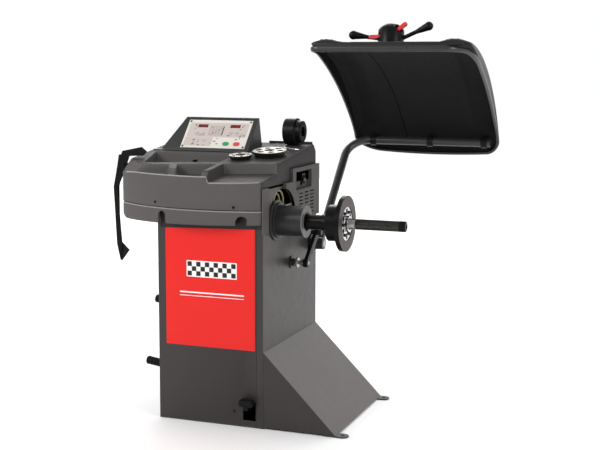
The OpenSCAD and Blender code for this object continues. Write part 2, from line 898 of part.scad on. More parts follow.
module guard_hood() {
  color(black) difference() {
    hood_solid(hood_r, 0, 0);
    hood_solid(hood_r - hood_t, 0.4, hood_t);
  }
  color(black) for (rib = [[hood_x0 + 10, 92], [790, 68]])
    profile_x(rib[0], rib[0] + rib[1]) difference() {
      intersection() {
        translate([hood_y, hood_z]) circle(r = hood_r + rib_h, $fn = 180);
        hood_sector(hood_a0 + 8, hood_a1 - 1);
      }
      translate([hood_y, hood_z]) circle(r = hood_r - 1, $fn = 180);
    }
}

module guard_clips() {
  reach = norm([corner_y - hood_y, corner_z - hood_z]);
  aim = atan2(corner_z - hood_z, corner_y - hood_y);
  color(black) for (x = [350, 600, 830])
    translate([0, hood_y, hood_z]) rotate([aim, 0, 0]) difference() {
      union() {
        translate([0, reach, 0]) along_x(x, x + 24, tube_r + 5);
        block([x, reach, -14], [x + 24, hood_r - hood_t - 1.5, 14]);
      }
      translate([0, reach, 0]) along_x(x - 1, x + 25, tube_r + seat_gap);
    }
}

// ---- Quick-clamping nut, laid on the hood ----
module nut_frame() {
  translate([nut_x, hood_y, hood_z]) rotate([-nut_angle, 0, 0]) translate([0, 0, hood_r + 0.5]) children();
}

module nut_handle(side, rise, reach) {
  rotate([0, side * (90 - rise), 0]) {
    translate([0, 0, 38]) cylinder(h = reach - 90, r = 8);
    translate([0, 0, reach - 54]) cylinder(h = 54, r1 = 8, r2 = 17);
    translate([0, 0, reach]) sphere(r = 17.5);
  }
}

module quick_nut() {
  color(black) nut_frame() difference() {
    union() {
      cylinder(h = nut_h - 22, r = nut_r);
      translate([0, 0, nut_h - 22]) cylinder(h = 10, r1 = nut_r, r2 = nut_r - 5);
      translate([0, 0, nut_h - 12]) cylinder(h = 12, r1 = nut_r - 5, r2 = nut_r - 20);
      translate([0, 0, 16]) nut_handle(-1, 7.7, 153);
      translate([0, 0, 2]) nut_handle(1, 24.8, 160);
    }
    translate([0, 0, -1]) cylinder(h = nut_h + 2, r = shaft_r + 0.4);
    for (side = [-1, 1]) lever_pocket(side);
  }
  color(black) nut_frame() for (side = [-1, 1]) lever_axis(side) cylinder(h = 27, r = 2);
}

module lever_pocket(side) {
  if (side > 0) translate([34, -26, 50]) block([-12, -12, -8], [30, 12, 40]);
  else translate([-34, -26, 26]) block([-34, -12, -12], [12, 12, 12]);
}

module lever_axis(side) {
  translate([side * 34, -11, side > 0 ? 50 : 26]) rotate([90, 0, 0]) children();
}

module nut_lever(side) {
  color([0.85, 0.1, 0.12]) nut_frame() lever_axis(side) translate([0, 0, 7])
    linear_extrude(16) difference() {
      union() {
        circle(r = 6.5);
        rotate(side > 0 ? 40 : 5) translate([side > 0 ? 0 : -48, -5]) square([side > 0 ? 45 : 48, 10]);
      }
      circle(r = 2 + running);
    }
}

module nut_lever_left() {
  nut_lever(-1);
}

module nut_lever_right() {
  nut_lever(1);
}

// ---- Cones and cup on the deck ----
module cone_body(r, h) {
  difference() {
    union() {
      cylinder(h = h - 4, r1 = r * 0.84, r2 = r);
      translate([0, 0, h - 4]) cylinder(h = 4, r = r);
    }
    translate([0, 0, -1]) cylinder(h = h + 2, r = shaft_r + running);
    for (i = [0:5]) rotate([0, 0, 60 * i]) translate([(r + shaft_r) / 2, 0, 6]) cylinder(h = h, r = (r - shaft_r) * 0.27);
  }
}

module small_cone() {
  color([0.7, 0.66, 0.6]) deck_frame() translate([small_at[0], small_at[1], 0.3]) cone_body(45, 18);
}

module large_cone() {
  color([0.7, 0.66, 0.6]) deck_frame() translate([large_at[0], large_at[1], 0.3]) cone_body(67, 24);
}

module pressure_cup() {
  color(black) deck_frame() translate([0, cup_y, cup_r + 0.3]) difference() {
    union() {
      along_x(112, 162, cup_r);
      along_x(162, 185, 44);
    }
    along_x(111, 153, 47);
    along_x(110, 190, shaft_r + 0.4);
  }
}

// ---- Cables and screws ----
module loop(x, r) {
  translate([x, arch_y, spindle_z + housing_r + 0.2]) {
    rotate([90, 0, 90]) rotate_extrude(angle = 180) translate([r, 0]) circle(r = 4);
    translate([0, r, -40]) cylinder(h = 41.5, r = 4.3);
    translate([-12, r, -40]) rotate([90, 0, 0]) rotate([0, 0, -90]) rotate_extrude(angle = 90)
      translate([12, 0]) circle(r = 4);
    translate([0, r, -52]) along_x(124 - x, -11, 4.3);
  }
}

module cable_loop() {
  color([0.6, 0.58, 0.35]) {
    loop(203, 50);
    loop(192, 38);
  }
}

module casing_screws() {
  color(black) {
    for (spot = [[-215, 843], [115, 838]])
      translate([bow_x, bow_y, spot[1]]) rotate([90, 0, asin((spot[0] - bow_x) / bow_r)])
        translate([0, 0, bow_r]) cylinder(h = 2, r = 5);
    translate([97, front_y, 57]) rotate([90, 0, 0]) cylinder(h = 2, r = 5);
    face_frame() for (x = [-133, 133]) for (y = [16, 147]) translate([x, y, 1.5]) cylinder(h = 1.5, r = 3.5);
  }
}

base_plate();
front_panel();
right_panel();
rear_panel();
wedge_plinth();
floor_lugs();
red_panel();
weight_tray();
front_apron();
side_cover();
console_housing();
keypad_panel();
start_key();
stop_key();
display_board();
power_board();
mains_inlet();
switch_bezel();
switch_rocker();
storage_pegs();
caliper_hook();
caliper_head();
caliper_arm();
spindle_housing();
housing_collar();
housing_end_cap();
spindle_bearings();
support_frame();
piezo_sensors();
motor();
motor_pulley();
drive_belt();
spindle_shaft();
spindle_lock_nut();
spindle_pulley();
flange_hub();
wheel_flange();
hub_insert();
flange_screws();
brake_bracket();
brake_pedal();
pedal_pad();
brake_rod();
gauge_guide();
gauge_rod();
gauge_arm();
gauge_tip();
guard_bearing();
guard_shaft();
guard_tube();
guard_hood();
guard_clips();
quick_nut();
nut_lever_left();
nut_lever_right();
small_cone();
large_cone();
pressure_cup();
cable_loop();
casing_screws();
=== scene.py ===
import json
import math
import bpy
import bmesh
import numpy as np
from mathutils import Matrix, Vector
from mathutils.geometry import delaunay_2d_cdt


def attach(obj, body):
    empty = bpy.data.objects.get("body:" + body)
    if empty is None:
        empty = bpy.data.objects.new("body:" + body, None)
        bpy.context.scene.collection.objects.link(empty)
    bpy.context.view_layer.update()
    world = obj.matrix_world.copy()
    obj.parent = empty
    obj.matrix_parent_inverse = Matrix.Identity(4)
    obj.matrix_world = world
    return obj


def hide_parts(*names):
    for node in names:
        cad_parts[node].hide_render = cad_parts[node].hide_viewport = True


# A wheel balancer. Points are in millimetres in the CAD's frame until a piece is made: X runs along the spindle
# to its free end, Y from the front to the back, Z up from the floor. Blender works in metres.

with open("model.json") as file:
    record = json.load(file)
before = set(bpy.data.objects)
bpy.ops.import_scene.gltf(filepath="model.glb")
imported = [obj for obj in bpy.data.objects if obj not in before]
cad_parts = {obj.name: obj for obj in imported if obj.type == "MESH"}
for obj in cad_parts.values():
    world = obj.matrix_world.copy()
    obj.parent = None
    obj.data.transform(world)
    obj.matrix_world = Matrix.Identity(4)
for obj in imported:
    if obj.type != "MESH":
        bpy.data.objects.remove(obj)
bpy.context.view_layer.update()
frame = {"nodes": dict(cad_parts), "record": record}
MM = 0.001
BODY_OF = {n: b for b, nodes in frame["record"]["behaviour"]["bodies"].items() for n in nodes}
SLOT_OF = {s["node"]: s["material_slot"] for s in frame["record"]["subparts"]}

# ---------------------------------------------------------------- materials
DUST_FROM, DUST_TO = 0.62, 0.78     # noise levels between which specks of dust fade in
WEAR_FROM, WEAR_TO = 0.53, 0.62     # pointiness between which an edge is worn
BUMP_DEPTH = 0.0004                 # metres


def material(name, colour, rough=0.5, metal=0.0, mottle=0.08, mottle_scale=7.0, grain=0.0, grain_scale=900.0,
             rough_var=0.08, wear=0.0, wear_colour=(0.5, 0.5, 0.5), streak=None, coat=0.0, dust=0.0, shine=0.5):
    """A principled material whose colour, roughness and bump all vary over the surface."""
    m = bpy.data.materials.new(name)
    m.use_nodes = True
    nodes, links = m.node_tree.nodes, m.node_tree.links
    shader = nodes["Principled BSDF"]
    for key, value in (("Metallic", metal), ("Specular IOR Level", shine), ("Coat Weight", coat),
                       ("Coat Roughness", 0.2)):
        shader.inputs[key].default_value = value
    place = nodes.new("ShaderNodeTexCoord").outputs["Object"]
    stretch = nodes.new("ShaderNodeMapping")
    stretch.inputs["Scale"].default_value = streak or (1.0, 1.0, 1.0)
    links.new(place, stretch.inputs["Vector"])
    drawn_out = stretch.outputs["Vector"]

    def noise(scale, detail, where):
        n = nodes.new("ShaderNodeTexNoise")
        n.inputs["Scale"].default_value = scale
        n.inputs["Detail"].default_value = detail
        links.new(where, n.inputs["Vector"])
        return n.outputs["Fac"]

    def mapped(value, **ends):
        n = nodes.new("ShaderNodeMapRange")
        for key, end in ends.items():
            n.inputs[key.replace("_", " ")].default_value = end
        links.new(value, n.inputs["Value"])
        return n.outputs["Result"]

    def mix(fac, a, b):
        """Of a Mix node set to colour, inputs 6 and 7 are the two colours and output 2 is the result."""
        x = nodes.new("ShaderNodeMix")
        x.data_type = "RGBA"
        links.new(fac, x.inputs["Factor"])
        for sock, v in ((x.inputs[6], a), (x.inputs[7], b)):
            if isinstance(v, tuple):
                sock.default_value = (*v, 1.0)
            else:
                links.new(v, sock)
        return x.outputs[2]

    broad = noise(mottle_scale, 5.0, place)
    low = tuple(max(0.0, c * (1 - mottle)) for c in colour)
    high = tuple(min(1.0, c * (1 + mottle) + 0.002) for c in colour)
    tone = mix(broad, low, high)
    if streak:
        lines = noise(60.0, 6.0, drawn_out)
        tone = mix(lines, tone, tuple(min(1.0, c * (1 + 1.6 * mottle)) for c in colour))
    if dust:
        specks = noise(260.0, 2.0, place)
        tone = mix(mapped(specks, From_Min=DUST_FROM, From_Max=DUST_TO, To_Max=dust), tone,
                   tuple(0.6 * c + 0.25 for c in colour))
    if wear:
        edge = nodes.new("ShaderNodeNewGeometry").outputs["Pointiness"]
        tone = mix(mapped(edge, From_Min=WEAR_FROM, From_Max=WEAR_TO, To_Max=wear), tone, wear_colour)
    links.new(tone, shader.inputs["Base Color"])
    gloss = noise(mottle_scale * 4, 4.0, place)
    links.new(mapped(gloss, To_Min=max(0.03, rough - rough_var), To_Max=min(1.0, rough + rough_var)),
              shader.inputs["Roughness"])
    if grain:
        fine = noise(grain_scale, 3.0, drawn_out if streak else place)
        bump = nodes.new("ShaderNodeBump")
        bump.inputs["Strength"].default_value = grain
        bump.inputs["Distance"].default_value = BUMP_DEPTH
        links.new(fine, bump.inputs["Height"])
        links.new(bump.outputs["Normal"], shader.inputs["Normal"])
    return m


LOOKS = {
    "frame_paint": dict(colour=(0.0275, 0.0232, 0.0218), rough=0.4, mottle=0.1, grain=0.12, grain_scale=1500,
                        wear=0.25, wear_colour=(0.09, 0.085, 0.08), shine=0.33),
    # painted light: a lighter, shinier copy of frame_paint for the plinth's sloping top
    "plinth_top_lit": dict(colour=(0.064, 0.0535, 0.05), rough=0.38, mottle=0.1, grain=0.12, grain_scale=1500,
                         wear=0.25, wear_colour=(0.12, 0.115, 0.11), shine=0.45),
    "floor_paint": dict(colour=(0.02, 0.018, 0.017), rough=0.5, mottle=0.2, grain=0.2, wear=0.4,
                        wear_colour=(0.15, 0.14, 0.13), shine=0.35),
    "panel_red": dict(colour=(0.74, 0.014, 0.01), rough=0.4, mottle=0.04, grain=0.05, rough_var=0.05, shine=0.25),
    "panel_white": dict(colour=(0.85, 0.84, 0.83), rough=0.42, mottle=0.03, grain=0.05),
    "panel_black": dict(colour=(0.012, 0.011, 0.011), rough=0.42, mottle=0.1, grain=0.05, shine=0.3),
    "casing": dict(colour=(0.09, 0.082, 0.082), rough=0.62, mottle=0.06, grain=0.35, grain_scale=1400, shine=0.15),
    # painted shade: a darker copy of the casing colour for the tray's flats and its right side
    "casing_deck_shaded": dict(colour=(0.047, 0.0425, 0.0425), rough=0.62, mottle=0.06, grain=0.35, grain_scale=1400,
                        shine=0.12),
    # painted highlight: a lighter copy of the casing colour for its front top edge and the band under the parting line
    "casing_edge_highlight": dict(colour=(0.24, 0.225, 0.225), rough=0.4, mottle=0.06, grain=0.25, grain_scale=1400),
    "console": dict(colour=(0.022, 0.023, 0.023), rough=0.42, mottle=0.08, grain=0.35, grain_scale=1400, shine=0.35),
    "keypad": dict(colour=(0.74, 0.7, 0.64), rough=0.45, mottle=0.03, grain=0.1, grain_scale=1200),
    "keypad_shade": dict(colour=(0.58, 0.5, 0.47), rough=0.45, mottle=0.04, grain=0.1),
    "ink_grey": dict(colour=(0.26, 0.23, 0.22), rough=0.5, mottle=0.1),
    "ink_dark": dict(colour=(0.05, 0.05, 0.055), rough=0.5, mottle=0.1),
    "window": dict(colour=(0.07, 0.004, 0.006), rough=0.2, mottle=0.1, rough_var=0.03, coat=0.3, shine=0.3),
    "digits": dict(colour=(0.5, 0.03, 0.02), rough=0.3, mottle=0.05),
    "key_green": dict(colour=(0.03, 0.3, 0.12), rough=0.32, mottle=0.06, grain=0.1),
    "key_red": dict(colour=(0.62, 0.07, 0.04), rough=0.32, mottle=0.06, grain=0.1),
    "board": dict(colour=(0.02, 0.12, 0.05), rough=0.4, mottle=0.2, grain=0.2),
    "black_plastic": dict(colour=(0.004, 0.0038, 0.0036), rough=0.32, mottle=0.2, grain=0.25, grain_scale=1300,
                          shine=0.14),
    "hood_plastic": dict(colour=(0.0095, 0.0095, 0.0095), rough=0.32, mottle=0.12, grain=0.1, grain_scale=300,
                         rough_var=0.06, shine=0.35),
    # painted shade: a darker, duller copy of the hood plastic for its inside
    "hood_inner_shaded": dict(colour=(0.007, 0.007, 0.0068), rough=0.62, mottle=0.12, grain=0.1, grain_scale=300, shine=0.1),
    # painted highlight: a lighter, shinier copy of the hood plastic for the rim's bead
    "hood_rim_highlight": dict(colour=(0.022, 0.021, 0.021), rough=0.3, mottle=0.1, grain=0.08, grain_scale=300, shine=0.5),
    # painted shade: near black for the crease's groove inside the hood
    "hood_crease_shade": dict(colour=(0.002, 0.002, 0.002), rough=0.5, mottle=0.1, grain=0.1, shine=0.03),
    "black_metal": dict(colour=(0.0035, 0.0033, 0.0031), rough=0.33, mottle=0.2, grain=0.2, wear=0.45,
                        wear_colour=(0.035, 0.033, 0.032), shine=0.12),
    "tube_paint": dict(colour=(0.024, 0.023, 0.023), rough=0.3, mottle=0.12, grain=0.1, rough_var=0.05),
    "steel": dict(colour=(0.36, 0.35, 0.34), rough=0.3, metal=1.0, mottle=0.12, grain=0.2, streak=(30, 1, 1)),
    "chrome": dict(colour=(0.55, 0.55, 0.56), rough=0.1, metal=1.0, mottle=0.05, rough_var=0.04),
    "black_steel": dict(colour=(0.003, 0.0026, 0.0024), rough=0.3, mottle=0.2, grain=0.2, wear=0.4,
                        wear_colour=(0.025, 0.023, 0.022), shine=0.1),
    "ring_grey": dict(colour=(0.13, 0.122, 0.118), rough=0.42, mottle=0.08, grain=0.2, wear=0.3,
                      wear_colour=(0.3, 0.29, 0.28), shine=0.4),
    "thread": dict(colour=(0.035, 0.033, 0.03), rough=0.28, metal=0.9, mottle=0.2, grain=0.15, wear=0.5,
                   wear_colour=(0.35, 0.34, 0.32)),
    "rubber": dict(colour=(0.005, 0.005, 0.005), rough=0.55, mottle=0.25, grain=0.4, dust=0.05, shine=0.12),
    "brass": dict(colour=(0.6, 0.42, 0.16), rough=0.3, metal=1.0, mottle=0.15, grain=0.2),
    "motor_case": dict(colour=(0.4, 0.4, 0.41), rough=0.45, metal=0.9, mottle=0.15, grain=0.5),
    "flange_paint": dict(colour=(0.04, 0.031, 0.028), rough=0.42, mottle=0.18, grain=0.25, wear=0.4,
                         wear_colour=(0.11, 0.1, 0.09), shine=0.2),
    "cone_metal": dict(colour=(0.24, 0.215, 0.19), rough=0.4, metal=0.85, mottle=0.2, grain=0.3, dust=0.2),
    "cone_dark": dict(colour=(0.012, 0.011, 0.01), rough=0.4, metal=0.3, mottle=0.2, grain=0.3),
    "lever_red": dict(colour=(0.7, 0.015, 0.02), rough=0.25, mottle=0.06, grain=0.1, coat=0.3),
    "cable": dict(colour=(0.25, 0.22, 0.09), rough=0.4, mottle=0.2, grain=0.2),
    "guide_plastic": dict(colour=(0.012, 0.012, 0.012), rough=0.4, mottle=0.2, grain=0.3, shine=0.35),
    "housing_grey": dict(colour=(0.016, 0.0147, 0.0155), rough=0.36, mottle=0.1, grain=0.25, wear=0.3,
                         wear_colour=(0.1, 0.1, 0.1), shine=0.28),
}
MAT = {name: material(name, **look) for name, look in LOOKS.items()}

# ---------------------------------------------------------------- mesh tools
MERGE = 2e-6        # metres: points nearer than this are one


def settle(ob, body, stands_for=(), sharp=38):
    """Cleans and shades a piece's mesh, and sets it on its body in place of its CAD nodes."""
    me = ob.data
    bm = bmesh.new()
    bm.from_mesh(me)
    bmesh.ops.remove_doubles(bm, verts=bm.verts, dist=MERGE)
    bmesh.ops.recalc_face_normals(bm, faces=bm.faces)
    bm.to_mesh(me)
    bm.free()
    me.polygons.foreach_set("use_smooth", [True] * len(me.polygons))
    me.set_sharp_from_angle(angle=math.radians(sharp))
    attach(ob, body)
    if stands_for:
        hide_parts(*stands_for)


def refine(node, width, mat):
    """A piece made from a CAD node's own faces, with its flat faces joined up and its edges rounded by width."""
    me = frame["nodes"][node].data.copy()
    ob = bpy.data.objects.new(node + "_part", me)
    bpy.context.collection.objects.link(ob)
    me.materials.clear()
    me.materials.append(MAT[mat])
    me.polygons.foreach_set("material_index", [0] * len(me.polygons))
    bm = bmesh.new()
    bm.from_mesh(me)
    bmesh.ops.remove_doubles(bm, verts=bm.verts, dist=MERGE)
    bmesh.ops.dissolve_limit(bm, angle_limit=math.radians(0.6), verts=bm.verts, edges=bm.edges, delimit={"NORMAL"})
    bm.to_mesh(me)
    bm.free()
    settle(ob, BODY_OF[node], (node,))
    if width:
        b = ob.modifiers.new("edge", "BEVEL")
        b.width = width * MM
        b.segments = 2
        b.limit_method = "ANGLE"
        b.angle_limit = math.radians(32)
        b.harden_normals = True
        b.use_clamp_overlap = True
        b.miter_outer = "MITER_ARC"
    return ob


def repaint(ob, mat, chosen):
    """Gives a further material to the faces for which chosen() is true."""
    me = ob.data
    me.materials.append(MAT[mat])
    for p in me.polygons:
        if chosen(p):
            p.material_index = len(me.materials) - 1


class Build:
    """Gathers points, faces and each face's material number for one piece."""

    def __init__(self):
        self.v, self.f, self.m = [], [], []

    def grid(self, rows, close=False, mat=0):
        """Faces between rows of points. It returns the numbers of the first row's and the last row's first point."""
        base = len(self.v)
        n = len(rows[0])
        for r in rows:
            self.v.extend(r)
        for i in range(len(rows) - 1):
            for j in range(n if close else n - 1):
                a, b = base + i * n + j, base + i * n + (j + 1) % n
                c, d = base + (i + 1) * n + (j + 1) % n, base + (i + 1) * n + j
                self.f.append((a, b, c, d))
                self.m.append(mat)
        return base, base + (len(rows) - 1) * n

    def skin(self, rows, mat=0):
        """Closed rows with a face over each end."""
        for start in self.grid(rows, close=True, mat=mat):
            self.f.append(tuple(range(start, start + len(rows[0]))))
            self.m.append(mat)

    def lathe(self, profile, place, n=64, mat=0):
        """profile: (along, radius) pairs turned about place's local Z."""
        self.skin([[tuple(place @ Vector((r * math.cos(t), r * math.sin(t), z)))
                    for t in (2 * math.pi * k / n for k in range(n))] for z, r in profile], mat)

    def tube(self, path, radii, n=16, mat=0):
        """A round rod along a path, with a radius for each of its points."""
        path = [Vector(p) for p in path]
        rows = []
        up = None
        for i, (p, r) in enumerate(zip(path, radii)):
            t = (path[min(i + 1, len(path) - 1)] - path[max(i - 1, 0)]).normalized()
            if up is None:
                up = t.orthogonal().normalized()
            up = (up - t * up.dot(t)).normalized()
            side = t.cross(up)
            rows.append([tuple(p + r * (up * math.cos(a) + side * math.sin(a)))
                         for a in (2 * math.pi * k / n for k in range(n))])
        self.skin(rows, mat)

    def prism(self, outline, place, z0, z1, mat=0, edge=0.0):
        """A flat outline made solid between z0 and z1 of place, with its top edge softened."""
        cx = sum(p[0] for p in outline) / len(outline)
        cy = sum(p[1] for p in outline) / len(outline)
        inner = []
        for x, y in outline:
            k = min(0.5, edge / (1e-6 + math.hypot(x - cx, y - cy)))
            inner.append((x + (cx - x) * k, y + (cy - y) * k))
        levels = [(outline, z0), (outline, z1 - edge), (inner, z1)] if edge else [(outline, z0), (outline, z1)]
        self.skin([[tuple(place @ Vector((x, y, z))) for x, y in pts] for pts, z in levels], mat)

    def piece(self, name, mats, body, stands_for=(), sharp=38):
        """Makes the object in metres and sets it on its body."""
        me = bpy.data.meshes.new(name)
        me.from_pydata([tuple(c * MM for c in v) for v in self.v], [], self.f)
        ob = bpy.data.objects.new(name, me)
        bpy.context.collection.objects.link(ob)
        for mat in mats:
            me.materials.append(MAT[mat])
        me.polygons.foreach_set("material_index", self.m)
        settle(ob, body, stands_for, sharp)
        return ob


def round_rect(cx, cy, w, h, r, n=5):
    """A rectangle's outline about (cx, cy) with corners of radius r, in n steps each."""
    pts = []
    r = min(r, w / 2 - 1e-3, h / 2 - 1e-3)
    for k, (sx, sy) in enumerate(((1, -1), (1, 1), (-1, 1), (-1, -1))):
        for i in range(n + 1):
            a = math.radians(-90 + 90 * k + 90 * i / n)
            pts.append((cx + sx * (w / 2 - r) + r * math.cos(a), cy + sy * (h / 2 - r) + r * math.sin(a)))
    return pts


def rounded(profile, r, n=3):
    """Rounds a profile's inner corners by r."""
    out = [profile[0]]
    for p, q, s in zip(profile, profile[1:], profile[2:]):
        p, q, s = Vector(p), Vector(q), Vector(s)
        a, b = p - q, s - q
        if a.length < 1e-6 or b.length < 1e-6:
            out.append(tuple(q))
            continue
        k = min(r, a.length * 0.45, b.length * 0.45)
        a, b = q + a.normalized() * k, q + b.normalized() * k
        for i in range(n + 1):
            t = i / n
            out.append(tuple((1 - t) ** 2 * a + 2 * t * (1 - t) * q + t * t * b))
    out.append(profile[-1])
    return out


def turned(about, degrees, axis):
    """A frame whose origin is at this point, turned about one of its own axes."""
    return Matrix.Translation(about) @ Matrix.Rotation(math.radians(degrees), 4, axis)


DECK_Y, DECK_Z, DECK_TILT = -139, 990, 7                # the sloping deck's front end and its tilt in degrees
DECK = turned((0, DECK_Y, DECK_Z), DECK_TILT, "X")      # local Z stands off the deck
DECK_IN = DECK.inverted()
DECK_UP = (DECK.to_3x3() @ Vector((0, 0, 1))).normalized()
SLOPE = math.tan(math.radians(DECK_TILT))
FACE = DECK @ turned((-145, 185, 4), 40.4, "X")         # the console's face
FRONT = Matrix(((1, 0, 0, 0), (0, 0, -1, -290.5), (0, 1, 0, 0), (0, 0, 0, 1)))      # the red panel's plane
SPIN_Y, SPIN_Z = -155, 776                              # the spindle's axis

# ---------------------------------------------------------------- pieces whose shape is the CAD's
OWN_LOOK = {"spindle_housing": "housing_grey", "housing_collar": "housing_grey", "housing_end_cap": "ring_grey",
            "spindle_bearings": "steel", "piezo_sensors": "brass", "motor_pulley": "steel",
            "flange_hub": "black_steel", "hub_insert": "chrome", "guard_tube": "tube_paint",
            "quick_nut": "black_plastic"}
ROUNDED_BY = (
    ("base_plate", 1.0), ("front_panel", 1.2), ("right_panel", 1.2), ("rear_panel", 0.8), ("wedge_plinth", 1.6),
    ("floor_lugs", 1.2), ("side_cover", 2.0), ("support_frame", 1.0), ("mains_inlet", 1.0), ("switch_bezel", 0.8),
    ("switch_rocker", 0.8), ("brake_bracket", 0.8), ("brake_pedal", 1.2), ("pedal_pad", 0.8), ("caliper_hook", 0.8),
    ("gauge_arm", 2.0), ("gauge_tip", 1.0), ("gauge_guide", 1.0), ("guard_bearing", 1.0), ("guard_clips", 1.0),
    ("motor", 1.5), ("display_board", 0.3), ("power_board", 0.4), ("spindle_housing", 2.0), ("housing_collar", 2.0),
    ("housing_end_cap", 1.0), ("spindle_bearings", 0.8), ("piezo_sensors", 0.6), ("motor_pulley", 0.4),
    ("spindle_pulley", 0.5), ("drive_belt", 0.5), ("spindle_lock_nut", 0.8), ("flange_hub", 2.0),
    ("hub_insert", 0.8), ("flange_screws", 0.6), ("brake_rod", 0.6), ("gauge_rod", 0.6), ("guard_shaft", 0.8),
    ("casing_screws", 0.3), ("storage_pegs", 1.2), ("caliper_head", 0.6), ("caliper_arm", 0.6),
    ("wheel_flange", 1.5), ("guard_tube", 0.5), ("console_housing", 4.0), ("keypad_panel", 0.4), ("start_key", 1.2),
    ("stop_key", 1.2), ("small_cone", 1.2), ("large_cone", 1.2), ("pressure_cup", 4.0), ("quick_nut", 1.5),
    ("cable_loop", 0.0), ("red_panel", 0.5))
part = {node: refine(node, width, OWN_LOOK.get(node, SLOT_OF[node])) for node, width in ROUNDED_BY}

# the plinth's sloping top gets a lighter copy of its paint as painted light, and the flange's rim is blacker than its
# face
repaint(part["wedge_plinth"], "plinth_top_lit", lambda p: p.normal.z > 0.3)
repaint(part["wheel_flange"], "black_steel", lambda p: abs(p.normal.x) < 0.6)


def is_flank(p, cx, cy, r):
    """Whether a cone's face lies on its flank or in its pockets, for a cone of radius r at (cx, cy) on the deck."""
    c = DECK_IN @ Matrix.Scale(1 / MM, 4) @ p.center
    away = math.hypot(c.x - cx, c.y - cy)
    return away > 0.86 * r or (c.z > 6 and abs(p.normal.dot(DECK_UP)) < 0.5 and away > 24)


# the cones' flanks are dark, their tops bright metal
repaint(part["small_cone"], "cone_dark", lambda p: is_flank(p, 42, 50, 45))
repaint(part["large_cone"], "cone_dark", lambda p: is_flank(p, 134, 122, 67))

# ---------------------------------------------------------------- moulded casing: weight tray and front apron
BOW_X, BOW_Y, BOW_R = -17.0, 278.0, 619.0       # the bowed front is an arc about this point
X0, X1, Y1 = -422.0, 216.0, 293.0               # the casing's left, right and rear sides
COLUMN = (216.0, -216.2, 289.2, -292.0)         # the column's right, left, rear and front
FRONT_Y = -292                                  # in front of this, the casing's right side reaches down to the seam
COVER_Y = -13                                   # behind this, it ends higher up, over the side cover
CASING_Z = 949.5                                # the casing's front edge
REAR_Y, REAR_Z = 258.5, 1039                    # where the deck folds down to the rear
POCKET_DEEP = 38
SEAM_Z = 822                                    # the parting line between tray and apron


def soft_min(parts, k):
    """The lowest of several fields, blended over about k."""
    parts = np.array(parts)
    low = parts.min(axis=0)
    return low - k * np.log(np.exp(-(parts - low) / k).sum(axis=0))


def step(t):
    """A smooth step from 0 to 1."""
    t = np.clip(t, 0, 1)
    return t * t * (3 - 2 * t)


def outline_depth(x, y):
    """Distance inside the casing's plan outline, with its corners rounded."""
    return soft_min([x - X0, X1 - x, Y1 - y, BOW_R - np.hypot(x - BOW_X, y - BOW_Y)], 6.0)


def polygon_depth(x, y, corners, k, bow=None):
    """Distance inside a polygon drawn on the deck, and inside an arc of radius bow where there is one."""
    pts = [(px, DECK_Y + 0.9925 * py) for px, py in corners]
    cx = sum(p[0] for p in pts) / len(pts)
    cy = sum(p[1] for p in pts) / len(pts)
    parts = []
    for (ax, ay), (bx, by) in zip(pts, pts[1:] + pts[:1]):
        nx, ny = by - ay, ax - bx
        n = math.hypot(nx, ny)
        nx, ny = nx / n, ny / n
        if (cx - ax) * nx + (cy - ay) * ny < 0:
            nx, ny = -nx, -ny
        parts.append((x - ax) * nx + (y - ay) * ny)
    if bow:
        parts.append(bow - np.hypot(x - BOW_X, y - BOW_Y))
    return soft_min(parts, k)


POCKETS = [     # front left, front middle, rear, and the low tray at the right
    lambda x, y: polygon_depth(x, y, [(-351, -110), (-199, -84), (-120, -230), (-351, -230)], 3.0, 614),
    lambda x, y: polygon_depth(x, y, [(-168, -78), (-13, -48), (-13, -230), (-104, -230)], 3.0, 614),
    lambda x, y: polygon_depth(x, y, [(-318, -67), (-18, -17), (-18, 149), (-374, 149)], 4.0),
    lambda x, y: polygon_depth(x, y, [(11, -45), (460, 39), (460, -500), (11, -500)], 3.0),
]
WALL_RUN = [12, 12, 13, 7]      # how far each pocket's walls run inwards as they go down


def casing_top(x, y):
    """Height of the casing's top surface."""
    plane = DECK_Z + SLOPE * (y - DECK_Y)
    bow = BOW_R - np.hypot(x - BOW_X, y - BOW_Y)
    front = CASING_Z + 0.95 * np.maximum(bow - 8, 0)
    rear = REAR_Z + REAR_Y - y
    z = soft_min([plane, front, rear], 1.6)
    floor = plane - POCKET_DEEP
    for depth, run in zip(POCKETS, WALL_RUN):
        z = z + (np.minimum(floor, z) - z) * step((depth(x, y) + 1.5) / (run + 1.5))
    return z


def edge_radius(x, y):
    """How round the top edge is: crisp in front, soft at the sides, softest at the left end."""
    return 4.0 + 5.0 * step((y + 270) / 60) + 14.0 * step((-372 - x) / 40) * step((y + 215) / 60)


class Scatter:
    """Plan points kept a little apart from each other."""

    def __init__(self, pts=()):
        self.pts, self.cells = list(pts), {}

    def put(self, x, y, gap, cell=4.0):
        """Adds a point, unless another that was put lies nearer than gap."""
        i, j = int(x // cell), int(y // cell)
        r = int(gap // cell) + 1
        for a in range(i - r, i + r + 1):
            for b in range(j - r, j + r + 1):
                for k in self.cells.get((a, b), ()):
                    if math.hypot(self.pts[k][0] - x, self.pts[k][1] - y) < gap:
                        return
        self.cells.setdefault((i, j), []).append(len(self.pts))
        self.pts.append((x, y))

    def triangles(self):
        """The plan points as two arrays, and the triangles between them."""
        res = delaunay_2d_cdt([Vector(p) for p in self.pts], [], [], 0, 1e-6)
        return np.array([v[0] for v in res[0]]), np.array([v[1] for v in res[0]]), [tuple(f) for f in res[2]]


